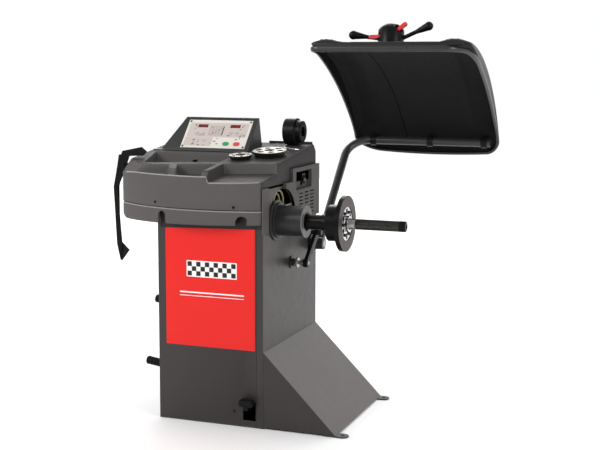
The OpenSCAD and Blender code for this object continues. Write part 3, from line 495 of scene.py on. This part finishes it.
def level_points(f, level, lo, hi, pitch):
    """Where f crosses level on a fine grid's lines."""
    xs = np.arange(lo[0], hi[0] + pitch, pitch)
    ys = np.arange(lo[1], hi[1] + pitch, pitch)
    gx, gy = np.meshgrid(xs, ys, indexing="ij")
    v = f(gx, gy) - level
    out = []
    for dx, dy in ((1, 0), (0, 1)):
        a = v[:-1, :] if dx else v[:, :-1]
        b = v[1:, :] if dx else v[:, 1:]
        i, j = np.nonzero((a > 0) != (b > 0))
        t = a[i, j] / (a[i, j] - b[i, j])
        out += [(xs[p] + dx * pitch * q, ys[r] + dy * pitch * q) for p, r, q in zip(i, j, t)]
    return out


# the outline is cut by rays from one point inside it, with more of them where the apron's notches and the side's
# steps are
centre = (-100.0, 0.0)
NOTCHES = ((-184, 18, 793), (144, 23, 782))     # each arched notch's middle, half width and the height of its arc
NOTCH_RAYS = (-205, -202.2, -201.8, -199, -194, -189, -184, -179, -174, -169, -166.2, -165.8, -163,
              118, 120.8, 121.2, 124, 129, 134, 139, 144, 149, 154, 159, 164, 166.8, 167.2, 170)
STEP_RAYS = (FRONT_Y - 0.2, FRONT_Y + 0.2, COVER_Y - 0.2, COVER_Y + 0.2)
angles = list(np.linspace(0, 2 * math.pi, 521)[:-1])
angles += [math.atan2(BOW_Y - math.sqrt(BOW_R ** 2 - (x - BOW_X) ** 2) - centre[1], x - centre[0]) % (2 * math.pi)
           for x in NOTCH_RAYS]
angles += [math.atan2(y - centre[1], X1 - centre[0]) % (2 * math.pi) for y in STEP_RAYS]
angles = np.array(sorted(set(angles)))


def ring_at(level):
    """The outline, level inside itself: where the rays from centre meet that depth, by halving."""
    lo = np.full(len(angles), 10.0)
    hi = np.full(len(angles), 900.0)
    c, s = np.cos(angles), np.sin(angles)
    for _ in range(40):
        mid = (lo + hi) / 2
        inside = outline_depth(centre[0] + mid * c, centre[1] + mid * s) > level
        lo = np.where(inside, mid, lo)
        hi = np.where(inside, hi, mid)
    return list(zip(centre[0] + lo * c, centre[1] + lo * s))


# plan points: rings along the outline, rings along each pocket's walls, the rear fold, and a loose grid between
net = Scatter(ring_at(0.0))
for level in (0.6, 1.8, 3.5, 5.6, 8.0):
    for x, y in ring_at(level):
        net.put(x, y, 0.5)
for level in (11.5, 16, 22, 30):
    for x, y in ring_at(level):
        if all(d(x, y) < -4 or d(x, y) > 18 for d in POCKETS):
            net.put(x, y, 3.0)
for depth, run in zip(POCKETS, WALL_RUN):
    for t in (-3.5, -1.5, 0.5, 2.5, 4.5, 6.5, 8.5, 10.5, 12.5, 15.0, 18.0):
        if run < 10 and t > 11:
            continue
        for x, y in level_points(depth, t, (X0, -345), (X1, 200), 3.0):
            if outline_depth(x, y) > 8.5:
                net.put(x, y, 1.7)
for y in (250, 254, 258, 262, 266, 274):
    for x in np.arange(X0 + 12, X1 - 8, 12):
        net.put(x, y, 3.0)
for x in np.arange(X0 + 6, X1, 10):
    for y in np.arange(-340, Y1, 10):
        if outline_depth(x, y) > 9:
            net.put(x, y, 6.0)
px, py, tris = net.triangles()
round_at = edge_radius(px, py)
inset = np.clip(outline_depth(px, py), 0, round_at)
pz = casing_top(px, py) - (round_at - np.sqrt(round_at ** 2 - (round_at - inset) ** 2))
tray = Build()
tray.v = [(float(a), float(b), float(c)) for a, b, c in zip(px, py, pz)]
tray.f = tris
# a painted highlight along the casing's front top edge
lip_highlight = (outline_depth(px, py) < 4.2) & (py < -215) & (px < 208)
tray.m = [1 if all(lip_highlight[k] for k in t) else 0 for t in tris]


def skirt_bottom(x, y):
    """How far down the casing's side reaches."""
    if x > 214 and y > FRONT_Y:
        return 908.0 if y < COVER_Y else 958.0
    return SEAM_Z + 4.3


edge0, edge1, edge4 = ring_at(0.0), ring_at(1.5), ring_at(4.0)
ex, ey = np.array([p[0] for p in edge0]), np.array([p[1] for p in edge0])
top_z = casing_top(ex, ey) - edge_radius(ex, ey)
low_z = [skirt_bottom(x, y) for x, y in edge0]
rows = []
for level, ring, f in ((1, edge0, 0), (0.66, edge0, 0), (0.33, edge0, 0), (0, edge0, 1.6), (0, edge1, 0),
                       (0, edge4, 0)):
    rows.append([(x, y, b + (t - b) * level + f) for (x, y), t, b in zip(ring, top_z, low_z)])
rows.append([(x, y, min(t - 8, b + 30)) for (x, y), t, b in zip(edge4, top_z, low_z)])
tray.grid(rows, close=True)
tray.prism(round_rect(0, 0, 190, 4, 1.5, 3), DECK @ Matrix.Translation((116, 397, -1)), 0, 9, edge=1.0)
tray_piece = tray.piece("tray_moulding", ["casing", "casing_edge_highlight"], "stand", ("weight_tray",), 50)
# faces turned up or to the right get the darker copy of the casing colour as painted shade
repaint(tray_piece, "casing_deck_shaded", lambda p: p.material_index == 0 and (p.normal.z > 0.8 or p.normal.x > 0.8))


def notch_at(x, y):
    """The notch in the front that a point of the outline lies in, if any."""
    return next((n for n in NOTCHES if y < -250 and abs(x - n[0]) < n[1]), None)


def apron_bottom(x, y):
    """Height of the apron's lower edge, with its notches and its rounded lower left corner."""
    hit = notch_at(x, y)
    if hit:
        cx, half, cz = hit
        return cz + math.sqrt(half ** 2 - (x - cx) ** 2)
    z = 760 + 11 * (x - X0) / (X1 - X0)
    off = max(0.0, X0 + 34 - x)
    return z + 34 - math.sqrt(34 ** 2 - min(off, 33.9) ** 2)


def column_edge(x, y):
    """Where the ray to (x, y) meets the column's outline."""
    dx, dy = x - centre[0], y - centre[1]
    t = 9.0
    for side, p, d in zip(COLUMN, (centre[0], centre[0], centre[1], centre[1]), (dx, dx, dy, dy)):
        if abs(d) > 1e-9 and (side - p) / d > 0:
            t = min(t, (side - p) / d)
    return centre[0] + dx * min(t, 0.995), centre[1] + dy * min(t, 0.995)


apron = Build()
edge5, edge9 = ring_at(5.0), ring_at(9.0)
base_z = [apron_bottom(x, y) for x, y in edge0]
notch = [notch_at(x, y) is not None for x, y in edge0]
rows = [[(x, y, 822.5) for x, y in edge4], [(x, y, 823.8) for x, y in edge4], [(x, y, 823.8) for x, y in edge1],
        [(x, y, 822.2) for x, y in edge0], [(x, y, 0.5 * (SEAM_Z + z)) for (x, y), z in zip(edge0, base_z)]]
for ring, rise, cut in ((edge0, 6.0, 0.8), (edge1, 2.4, 0.0), (edge4, 0.5, 0.0), (edge5, 0.0, 12.0),
                        (edge9, 0.0, 24.0)):
    rows.append([(*(r4 if (n and ring is not edge0 and ring is not edge1) else p), z + (cut if n else rise))
                 for p, r4, z, n in zip(ring, edge4, base_z, notch)])
bead = [(x, y, z - 2.6) for x, y, z in rows[3]]     # the painted highlight under the parting line ends here
apron.grid(rows[:3], close=True)
# the band under the parting line gets the painted highlight
apron.grid([rows[2], rows[3], bead], close=True, mat=1)
apron.grid([bead, *rows[4:]], close=True)
under = [[(x, y, z + (24.0 if n else 0.0)) for (x, y), z, n in zip(ring, base_z, notch)]
         for ring in ([r4 if n else p for p, r4, n in zip(edge9, edge4, notch)],
                      [r4 if n else column_edge(*p) for p, r4, n in zip(edge9, edge4, notch)])]
apron.grid(under, close=True)
SIDE = Matrix(((0, 0, 1, 215.5), (1, 0, 0, -267), (0, 1, 0, 821.5), (0, 0, 0, 1)))      # a flat pad on the right side
apron.prism(round_rect(0, 0, 60, 169, 4, 3), SIDE, 0, 3.5, edge=0.8)
apron.piece("front_apron_moulding", ["casing", "casing_edge_highlight"], "stand", ("front_apron",), 40)

# painted shade: a black strip over the red panel's top, where the shade under the apron falls, with a screw
shadow_strip = Build()
shadow_strip.prism([(-203, 745), (214, 756), (214, 812), (-203, 812)], FRONT, -0.2, 0.9, edge=0.4)
shadow_strip.lathe(rounded([(-1.6, 4.5), (0.4, 4.5), (2.6, 3.4), (2.6, 0.6)], 0.8), FRONT @ Matrix.Translation((97, 57, 0)), 24)
shadow_strip.piece("panel_shadow_strip_and_screw", ["panel_black"], "stand")

rod = Build()
rod.tube([(127, 150, 1026), (129, 149.2, 1025.9), (201, 119.8, 1022.1), (203, 119, 1022)], [3.2, 4.2, 4.2, 3.2])
rod.piece("loose_rod", ["chrome"], "stand")

knob = Build()
knob.lathe(rounded([(0, 10), (0, 12), (4, 12), (5, 8), (14, 7), (16, 10), (24, 9), (26, 4)], 1.2),
           DECK @ Matrix.Translation((-170, 84, -POCKET_DEEP)), 32)
knob.piece("pocket_knob", ["black_plastic"], "stand")

# ---------------------------------------------------------------- guard hood
# A shell bent about HOOD_Y, HOOD_Z. Its points are (x, s), where s is the distance along the arc of radius HOOD_R.
HOOD_Y, HOOD_Z, HOOD_R = -2.0, 714.0, 733.0
ARC0, ARC1 = HOOD_R * math.radians(22.1), HOOD_R * math.radians(86.7)
HOOD_X0, HOOD_X1 = 270.6, 899.4
# each corner's two radii for the back's outline and the rim's, and how far the two ends are set in
BACK = {"tl": (18, 22), "tr": (28, 30), "br": (46, 58), "bl": (112, 62), "ends": (5.0, 0.0)}
RIM = {"tl": (30, 34), "tr": (92, 214), "br": (50, 64), "bl": (110, 62), "ends": (5.0, 6.0)}
SKIN, FILLET = 4.0, 8.0
BACK_R = HOOD_R - 1             # the back's outer face
EDGE_R = BACK_R - FILLET        # where the back's rounded edge ends
INNER_FILLET = FILLET - 2
BEAD = 24                       # the height of the bead that the rim is rolled into
CREASE_X, CREASE_LEAN = 508, 78


def up_hood(s):
    """0 at the lower edge, 1 at the upper."""
    return (s - ARC0) / (ARC1 - ARC0)


def crease_x(s):
    """The slanting crease's place at this height."""
    return CREASE_X - CREASE_LEAN * (s - ARC0) / (ARC1 - ARC0)


def hood_ring(corners, d, n=16, along=26, up=26):
    """Outline of the hood in (x, s), d inside it, with matching counts whatever the corners."""
    out, arcs = [], []
    x0, x1 = HOOD_X0 + corners["ends"][0], HOOD_X1 - corners["ends"][1]
    for k, (x, s, key, sx, sy) in enumerate(((x1, ARC0, "br", 1, -1), (x1, ARC1, "tr", 1, 1),
                                             (x0, ARC1, "tl", -1, 1), (x0, ARC0, "bl", -1, -1))):
        rx, rs = corners[key]
        cx, cy, ra, rb = x - sx * rx, s - sy * rs, max(rx - d, 0.4), max(rs - d, 0.4)
        arcs.append([(cx + ra * math.cos(math.radians(-90 + 90 * k + 90 * i / n)),
                      cy + rb * math.sin(math.radians(-90 + 90 * k + 90 * i / n))) for i in range(n + 1)])
    for k in range(4):
        out += arcs[k]
        a, b = arcs[k][-1], arcs[(k + 1) % 4][0]
        m = up if k % 2 == 0 else along
        out += [(a[0] + (b[0] - a[0]) * i / m, a[1] + (b[1] - a[1]) * i / m) for i in range(1, m)]
    return out


def hood_depth(x, s):
    """Distance inside the back's outline."""
    x0 = HOOD_X0 + BACK["ends"][0]
    dx = np.minimum(x - x0, HOOD_X1 - x)
    dy = np.minimum(s - ARC0, ARC1 - s)
    depth = np.minimum(dx, dy)
    for key, right, top in (("tl", 0, 1), ("tr", 1, 1), ("br", 1, 0), ("bl", 0, 0)):
        rx, rs = BACK[key]
        ax = HOOD_X1 - x if right else x - x0
        ay = ARC1 - s if top else s - ARC0
        q = np.hypot(np.maximum(rx - ax, 0) / rx, np.maximum(rs - ay, 0) / rs)
        corner = (1 - q) * min(rx, rs)
        depth = np.where((ax < rx) & (ay < rs), np.minimum(depth, corner), depth)
    return depth


def sag(x, s):
    """The lower edge bows down in its middle."""
    return 12.0 * np.minimum(((x - 630) / 280.0) ** 2, 1.3) * np.clip(1 - up_hood(s) * 3, 0, 1) ** 2


def hood_rise(x, s):
    """The two raised bands up the back, and the crease between them."""
    t = up_hood(s)
    fade = step((t - 0.09) / 0.08) * step((1.0 - t) / 0.016)
    left = step((x - 281) / 40) * step((412 - x) / 70)
    right = step((x - 788) / 26) * step((897 - x) / 48)
    crease = -2.5 * np.exp(-((x - crease_x(s)) / 3.2) ** 2) * step((t - 0.06) / 0.03)
    return 11.4 * fade * (left + right) + crease


def hood_point(x, s, r):
    """The point in space of (x, s) at radius r."""
    a = (s + float(sag(x, s))) / HOOD_R
    return (float(x), HOOD_Y + r * math.cos(a), HOOD_Z + r * math.sin(a))


def rim_radius(x, s):
    """Radius at which the rim lies: a flat arc from end to end, and never a thin edge."""
    a = s / HOOD_R
    cx, cy = -353.0 - HOOD_Y, 154.0 - HOOD_Z
    b = cx * math.cos(a) + cy * math.sin(a)
    r = b + math.sqrt(b * b - (cx * cx + cy * cy) + 1330.0 ** 2)
    return min(r, HOOD_R - 19 - 21 * up_hood(s))


def inwards(p):
    """A point of the outer skin moved to the inner one."""
    mid = ((HOOD_X0 + HOOD_X1) / 2, (ARC0 + ARC1) / 2)
    return mid[0] + (p[0] - mid[0]) * (1 - SKIN / 312), mid[1] + (p[1] - mid[1]) * (1 - SKIN / 410)


def lerp(ring_a, ring_b, share):
    """A ring part of the way from one to the other."""
    return [(p[0] + (q[0] - p[0]) * share, p[1] + (q[1] - p[1]) * share) for p, q in zip(ring_a, ring_b)]


def wall_row(ring, radius):
    """A ring's points in space, with radius(k) for the k-th."""
    return [hood_point(p[0], p[1], radius(k)) for k, p in enumerate(ring)]


# points of the back: rings along its outline, columns along the raised bands, the crease, and a loose grid between
back_ring = hood_ring(BACK, 0.0)
net = Scatter(back_ring)
for d in (0.7, 2.2, 4.5, 8.0, 12.0, 18.0):
    for p in hood_ring(BACK, d):
        net.put(*p, 0.5 if d < 5 else 2.5)
for x in (285, 292, 300, 308, 316, 324, 345, 360, 372, 384, 396, 408,
          788, 794, 800, 806, 812, 850, 862, 872, 882):
    for s in np.arange(ARC0 + 22, ARC1 - 18, 16):
        if hood_depth(x, s) > 14:
            net.put(x, s, 1.2)
for off in (-8, -5, -2.4, -0.8, 0.8, 2.4, 5, 8):
    for s in np.arange(ARC0 + 24, ARC1 - 16, 13):
        net.put(crease_x(s) + off, s, 0.6)
for x in np.arange(HOOD_X0 + 24, HOOD_X1, 26):
    for s in np.concatenate((np.arange(ARC0 + 22, ARC1 - 16, 16), [ARC1 - 14])):
        if hood_depth(x, s) > 13:
            net.put(x, s, 7.0)
nx, ns, tris = net.triangles()
depth = np.clip(hood_depth(nx, ns), 0, FILLET)
drop = FILLET - np.sqrt(FILLET ** 2 - (FILLET - depth) ** 2)
rise = hood_rise(nx, ns)
hood = Build()
hood.v = [hood_point(x, s, BACK_R + r - d) for x, s, r, d in zip(nx, ns, rise, drop)]
hood.f = list(tris)
hood.m = [0] * len(tris)
base = len(hood.v)
hood.v += [hood_point(*inwards(p), BACK_R - SKIN + r - d * INNER_FILLET / FILLET)
           for p, r, d in zip(zip(nx, ns), rise, drop)]
hood.f += [(base + a, base + c, base + b) for a, b, c in tris]
# painted shade in the crease: a near-black strip along it on the inner face
crease_shade = np.abs(nx - crease_x(ns)) < 2.6
# the inner face gets the darker copy of the hood plastic as painted shade
hood.m += [3 if all(crease_shade[k] and depth[k] >= FILLET for k in t) else 1 for t in tris]

# the walls: down from the back, round the rim's bead, and up inside again
rim_at = [rim_radius(*p) for p in hood_ring(RIM, 0.0)]
squash = [max(0.25, min(1.0, (EDGE_R - r) / 27.0)) for r in rim_at]
rows = []
for share in (0.0, 0.34, 0.7):
    rows.append(wall_row(lerp(back_ring, hood_ring(RIM, 0.0), share),
                         lambda k: EDGE_R + (rim_at[k] + BEAD * squash[k] - EDGE_R) * share))
for out, lift in ((0.0, BEAD), (3.0, 22.5), (6.0, 18), (7.0, 12.5), (6.0, 7), (3.4, 2.6), (0.0, 0.4), (-3.0, 0.0)):
    rows.append(wall_row(lerp(hood_ring(BACK, -out * 0.9), hood_ring(RIM, -out * 0.9), 1.0),
                         lambda k: rim_at[k] + lift * squash[k]))
inner_rim = [inwards(p) for p in hood_ring(RIM, 1.5)]
rows.append(wall_row(inner_rim, lambda k: rim_at[k] + 2.5 * squash[k]))
rows.append(wall_row(inner_rim, lambda k: rim_at[k] + BEAD / 2 * squash[k]))
inner_back = [inwards(p) for p in back_ring]
for share in (0.35, 0.7, 1.0):
    rows.append(wall_row(lerp(inner_rim, inner_back, share), lambda k: rim_at[k] + BEAD / 2 * squash[k]
                         + (BACK_R - SKIN - INNER_FILLET - rim_at[k] - BEAD / 2 * squash[k]) * share))
hood.grid(rows[:4], close=True)
# the rim's bead gets the lighter copy of the hood plastic as a painted highlight
hood.grid(rows[3:12], close=True, mat=2)
# the inside walls get the darker copy of the hood plastic as painted shade
hood.grid(rows[11:], close=True, mat=1)
hood.piece("hood_shell", ["hood_plastic", "hood_inner_shaded", "hood_rim_highlight", "hood_crease_shade"], "guard", ("guard_hood",), 60)

# ---------------------------------------------------------------- spindle shaft with its thread
THREAD0, THREAD1, PITCH, TURN = 531, 699, 4.0, 40       # TURN is the number of points round
ROOT, CREST = 17.6, 19.9
PROFILE = [(0.0, ROOT), (0.22, ROOT), (0.36, CREST), (0.64, CREST), (0.78, ROOT)]       # (share of the pitch, radius)
shaft = Build()
place = turned((0, SPIN_Y, SPIN_Z), 90, "Y")            # local Z runs along the spindle
shaft.lathe(rounded([(6, 12), (6, 15), (62, 15), (62, 22.5), (326, 22.5), (326, 24), (496, 24), (496, CREST),
                     (THREAD0, CREST), (THREAD0, 17.4), (531.5, 17)], 0.8), place)
n = len(PROFILE)
count = int((THREAD1 - THREAD0) / PITCH) * n + 1
start = len(shaft.v)
for i in range(count):
    turn, at = divmod(i, n)
    f, r = PROFILE[at]
    for k in range(TURN):
        z = THREAD0 + PITCH * (turn + f + k / TURN)
        shaft.v.append(tuple(place @ Vector((r * math.cos(2 * math.pi * k / TURN),
                                             r * math.sin(2 * math.pi * k / TURN), min(z, THREAD1)))))
for i in range(count - 1):
    for k in range(TURN):
        a = start + i * TURN + k
        b = a + TURN
        if k < TURN - 1:
            shaft.f.append((a, a + 1, b + 1, b))
            shaft.m.append(1)
        elif i + n + 1 < count:     # the last face of a turn joins the next turn of the helix
            shaft.f.append((a, start + (i + n) * TURN, start + (i + n + 1) * TURN, b))
            shaft.m.append(1)
shaft.lathe(rounded([(697, 16), (697, 19.95), (720, 19.95), (723, 17), (723, 8), (716, 7), (716, 3)], 0.8), place,
            mat=2)
shaft.piece("spindle_thread", ["steel", "thread", "black_steel"], "spindle", ("spindle_shaft",), 35)

# ---------------------------------------------------------------- the nut's two levers
NUT = turned((571, HOOD_Y, HOOD_Z), -10.4, "X") @ Matrix.Translation((0, 0, 733.5))
TAIL_R, TIP_R = 5.6, 8.2        # how round a paddle is at the nut and at its tip
for side, name, z, turn, reach in ((-1, "left", 26, 5, 46), (1, "right", 50, 40, 42)):
    lever = Build()
    hold = NUT @ turned((side * 34, -11, z), 90, "X") @ Matrix.Rotation(math.radians(turn), 4, "Z")
    shape = []
    for k in range(25):
        t = math.radians(90 - 180 * k / 24)
        shape.append((-side * TAIL_R * math.cos(t), TAIL_R * math.sin(t)))
    for k in range(25):
        t = math.radians(-90 + 180 * k / 24)
        shape.append((side * (reach - TIP_R + TIP_R * math.cos(t)), TIP_R * math.sin(t)))
    lever.prism(shape, hold, 7.6, 22.6, edge=2.2)
    node = "nut_lever_" + name
    lever.piece("nut_lever_paddle_" + name, ["lever_red"], BODY_OF[node], (node,), 40)

# ---------------------------------------------------------------- console face
KEYPAD, GREY, DARK, SHADE, WINDOW, DIGIT = range(6)     # its materials
FILM_Z = 1.55                                           # the keypad film's top
face = Build()


def mark(cx, cy, w, h, mat, r=1.2, n=2, z=0.25):
    """A rounded mark printed on the film."""
    face.prism(round_rect(cx, cy, w, h, r, n), FACE @ Matrix.Translation((0, 0, FILM_Z)), -0.1, z, mat)


def ring_mark(cx, cy, r, width=1.6, n=20):
    """A ring printed on the film."""
    rows = [[tuple(FACE @ Vector((cx + q * math.cos(t), cy + q * math.sin(t), FILM_Z + z)))
             for t in (2 * math.pi * k / n for k in range(n))]
            for q, z in ((r, -0.1), (r, 0.25), (r - width, 0.25), (r - width, -0.1))]
    face.grid(rows, close=True, mat=GREY)


# two shaded fields, a grid of lines, a bar, and marks over the grid
mark(0, 103, 262, 74, SHADE, 7, 5, 0.12)
mark(-72, 42, 122, 46, SHADE, 5, 5, 0.12)
for k in range(7):
    mark(-8, 76 + 7.6 * k, 58, 1.2, GREY, 0.5)
for k in range(5):
    mark(-36.5 + 14.2 * k, 99, 1.2, 47, GREY, 0.5)
mark(23, 99, 4, 47, DARK)
for k in range(6):
    mark(-30 + 11.5 * (k % 5), 80 + 7.6 * k, 7, 3, DARK if k % 2 else GREY, 1)
for cx, cy, r in ((-86, 82, 8.5), (-86, 82, 4), (-60, 80, 8), (62, 86, 8), (62, 86, 3.6), (88, 86, 8.5), (112, 78, 6)):
    ring_mark(cx, cy, r)
for cx, cy, w, h, mat in (
        (-60, 80, 3, 14, GREY), (-72, 76, 3, 9, DARK), (88, 86, 14, 2, GREY), (52, 74, 12, 4, DARK),
        (104, 74, 9, 4, DARK), (122, 76, 8, 4, DARK), (-105, 128, 5, 9, DARK), (-98, 119, 5, 7, GREY),
        (-104, 108, 4, 8, GREY), (108, 128, 6, 4, DARK), (104, 120, 6, 5, DARK), (98, 108, 8, 5, GREY),
        (92, 56, 12, 5, GREY), (106, 62, 6, 6, GREY), (-92, 50, 9, 5, DARK), (-92, 28, 11, 5, DARK),
        (-92, 38, 3, 12, GREY), (-72, 44, 2.5, 18, GREY), (-50, 46, 2.5, 14, GREY), (-40, 46, 2.5, 14, GREY),
        (-66, 24, 9, 4, DARK), (-42, 25, 7, 3, GREY), (0, 44, 12, 6, GREY), (14, 32, 10, 5, GREY),
        (-14, 33, 9, 3, GREY), (8, 58, 10, 3, GREY)):
    mark(cx, cy, w, h, mat)
for x in (-133, 133):
    for y in (17.5, 146.5):
        face.lathe(rounded([(-0.1, 4.4), (1.3, 4.2), (1.9, 3.0), (1.9, 0.5)], 0.5),
                   FACE @ Matrix.Translation((x, y, FILM_Z)), 20, DARK)

# two display windows with three seven-segment digits each; the first digit lacks its middle bar
for side in (-1, 1):
    face.prism(round_rect(side * 71.5, 123, 44, 16, 1.4, 3), FACE, 0.7, 2.3, WINDOW, edge=0.5)
    for k in range(3):
        cx = side * 71.5 - 13 + 13 * k
        for dx, dy, w, h in ((0, 4.6, 4.6, 1), (0, 0, 4.6, 1), (0, -4.6, 4.6, 1), (-3, 2.3, 1, 3.4),
                             (3, 2.3, 1, 3.4), (-3, -2.3, 1, 3.4), (3, -2.3, 1, 3.4)):
            if k == 0 and dy == 0:
                continue
            face.prism(round_rect(cx + dx, 123 + dy, w, h, 0.4, 1), FACE, 2.2, 2.5, DIGIT)
face.piece("console_graphics", ["keypad", "ink_grey", "ink_dark", "keypad_shade", "window", "digits"], "stand")

# ---------------------------------------------------------------- decoration on the red panel
WHITE, BLACK = range(2)
SQUARE = 18
art = Build()


def patch(cx, cz, w, h, mat, height):
    """A thin rectangle on the red panel."""
    art.prism(round_rect(cx, cz, w, h, 1.0, 2), FRONT, -0.1, height, mat)


patch(8, 594, 206, 62, WHITE, 0.25)
for row in range(3):
    for k in range(11):
        if (row + k) % 2 == 0:
            patch(-82 + SQUARE * k, 576 + SQUARE * row, SQUARE, SQUARE, BLACK, 0.4)
patch(8, 503, 264, 5, WHITE, 0.25)
patch(8, 490, 264, 2.4, WHITE, 0.25)
art.piece("panel_graphics", ["panel_white", "panel_black"], "stand")

# ---------------------------------------------------------------- floor, light, camera (in metres)
FLOOR = 9
floor_mesh = bpy.data.meshes.new("floor")
floor_mesh.from_pydata([(x * FLOOR, y * FLOOR, -0.001) for x, y in ((-1, -1), (1, -1), (1, 1), (-1, 1))], [],
                       [(0, 1, 2, 3)])
floor = bpy.data.objects.new("floor", floor_mesh)
bpy.context.collection.objects.link(floor)
floor_mesh.materials.append(material("studio_floor", (0.93, 0.93, 0.93), 0.9, mottle=0.004))

# white light from all round, half as strong from the front as from behind
world = bpy.data.worlds.new("studio")
bpy.context.scene.world = world
world.use_nodes = True
nodes, links = world.node_tree.nodes, world.node_tree.links
sky = nodes.new("ShaderNodeTexCoord")
split = nodes.new("ShaderNodeSeparateXYZ")
shade = nodes.new("ShaderNodeMapRange")
shade.interpolation_type = "SMOOTHSTEP"
for key, value in (("From Min", -0.6), ("From Max", 0.55), ("To Min", 0.5), ("To Max", 1.02)):
    shade.inputs[key].default_value = value
links.new(sky.outputs["Generated"], split.inputs[0])
links.new(split.outputs["Y"], shade.inputs["Value"])
links.new(shade.outputs["Result"], nodes["Background"].inputs["Strength"])
nodes["Background"].inputs["Color"].default_value = (1.0, 1.0, 1.0, 1.0)
bpy.context.scene.view_settings.view_transform = "Standard"


def lamp(name, place, target, size, power):
    """A soft rectangular light turned towards target."""
    data = bpy.data.lights.new(name, "AREA")
    data.shape = "RECTANGLE"
    data.size, data.size_y = size
    data.energy = power
    ob = bpy.data.objects.new(name, data)
    bpy.context.collection.objects.link(ob)
    ob.location = place
    ob.rotation_euler = (Vector(target) - Vector(place)).to_track_quat("-Z", "Y").to_euler()


lamp("key_light", (-2.6, -3.4, 3.2), (0.0, 0.0, 0.8), (2.0, 1.6), 120)
lamp("side_light", (4.2, -1.6, 2.2), (0.2, 0.0, 0.9), (1.8, 2.2), 58)
lamp("rim_light", (-1.5, 3.6, 3.0), (0.0, 0.0, 0.9), (2.0, 1.2), 40)
lamp("floor_light", (-1.5, 6.5, 5.0), (-1.5, 6.5, 0.0), (12.0, 7.0), 420)

AZIMUTH, ELEVATION, ROLL = 20.5, 7.8, 0.2       # degrees: to the object's right, up, and about the view
AIM, DISTANCE = Vector((0.2532, 0, 0.7393)), 4.5625
cam = bpy.data.cameras.new("camera")
camera = bpy.data.objects.new("camera", cam)
bpy.context.collection.objects.link(camera)
az, el, roll = (math.radians(a) for a in (AZIMUTH, ELEVATION, ROLL))
back = Vector((math.sin(az) * math.cos(el), -math.cos(az) * math.cos(el), math.sin(el)))
right = Vector((math.cos(az), math.sin(az), 0))
up = back.cross(right)
eye = AIM + back * DISTANCE
cam_right = math.cos(roll) * right + math.sin(roll) * up
cam_up = -math.sin(roll) * right + math.cos(roll) * up
camera.matrix_world = Matrix((
    (cam_right.x, cam_up.x, back.x, eye.x),
    (cam_right.y, cam_up.y, back.y, eye.y),
    (cam_right.z, cam_up.z, back.z, eye.z),
    (0, 0, 0, 1)))
cam.sensor_width = 36.0
cam.lens = 70.374
cam.clip_start, cam.clip_end = 0.1, 60
bpy.context.scene.camera = camera
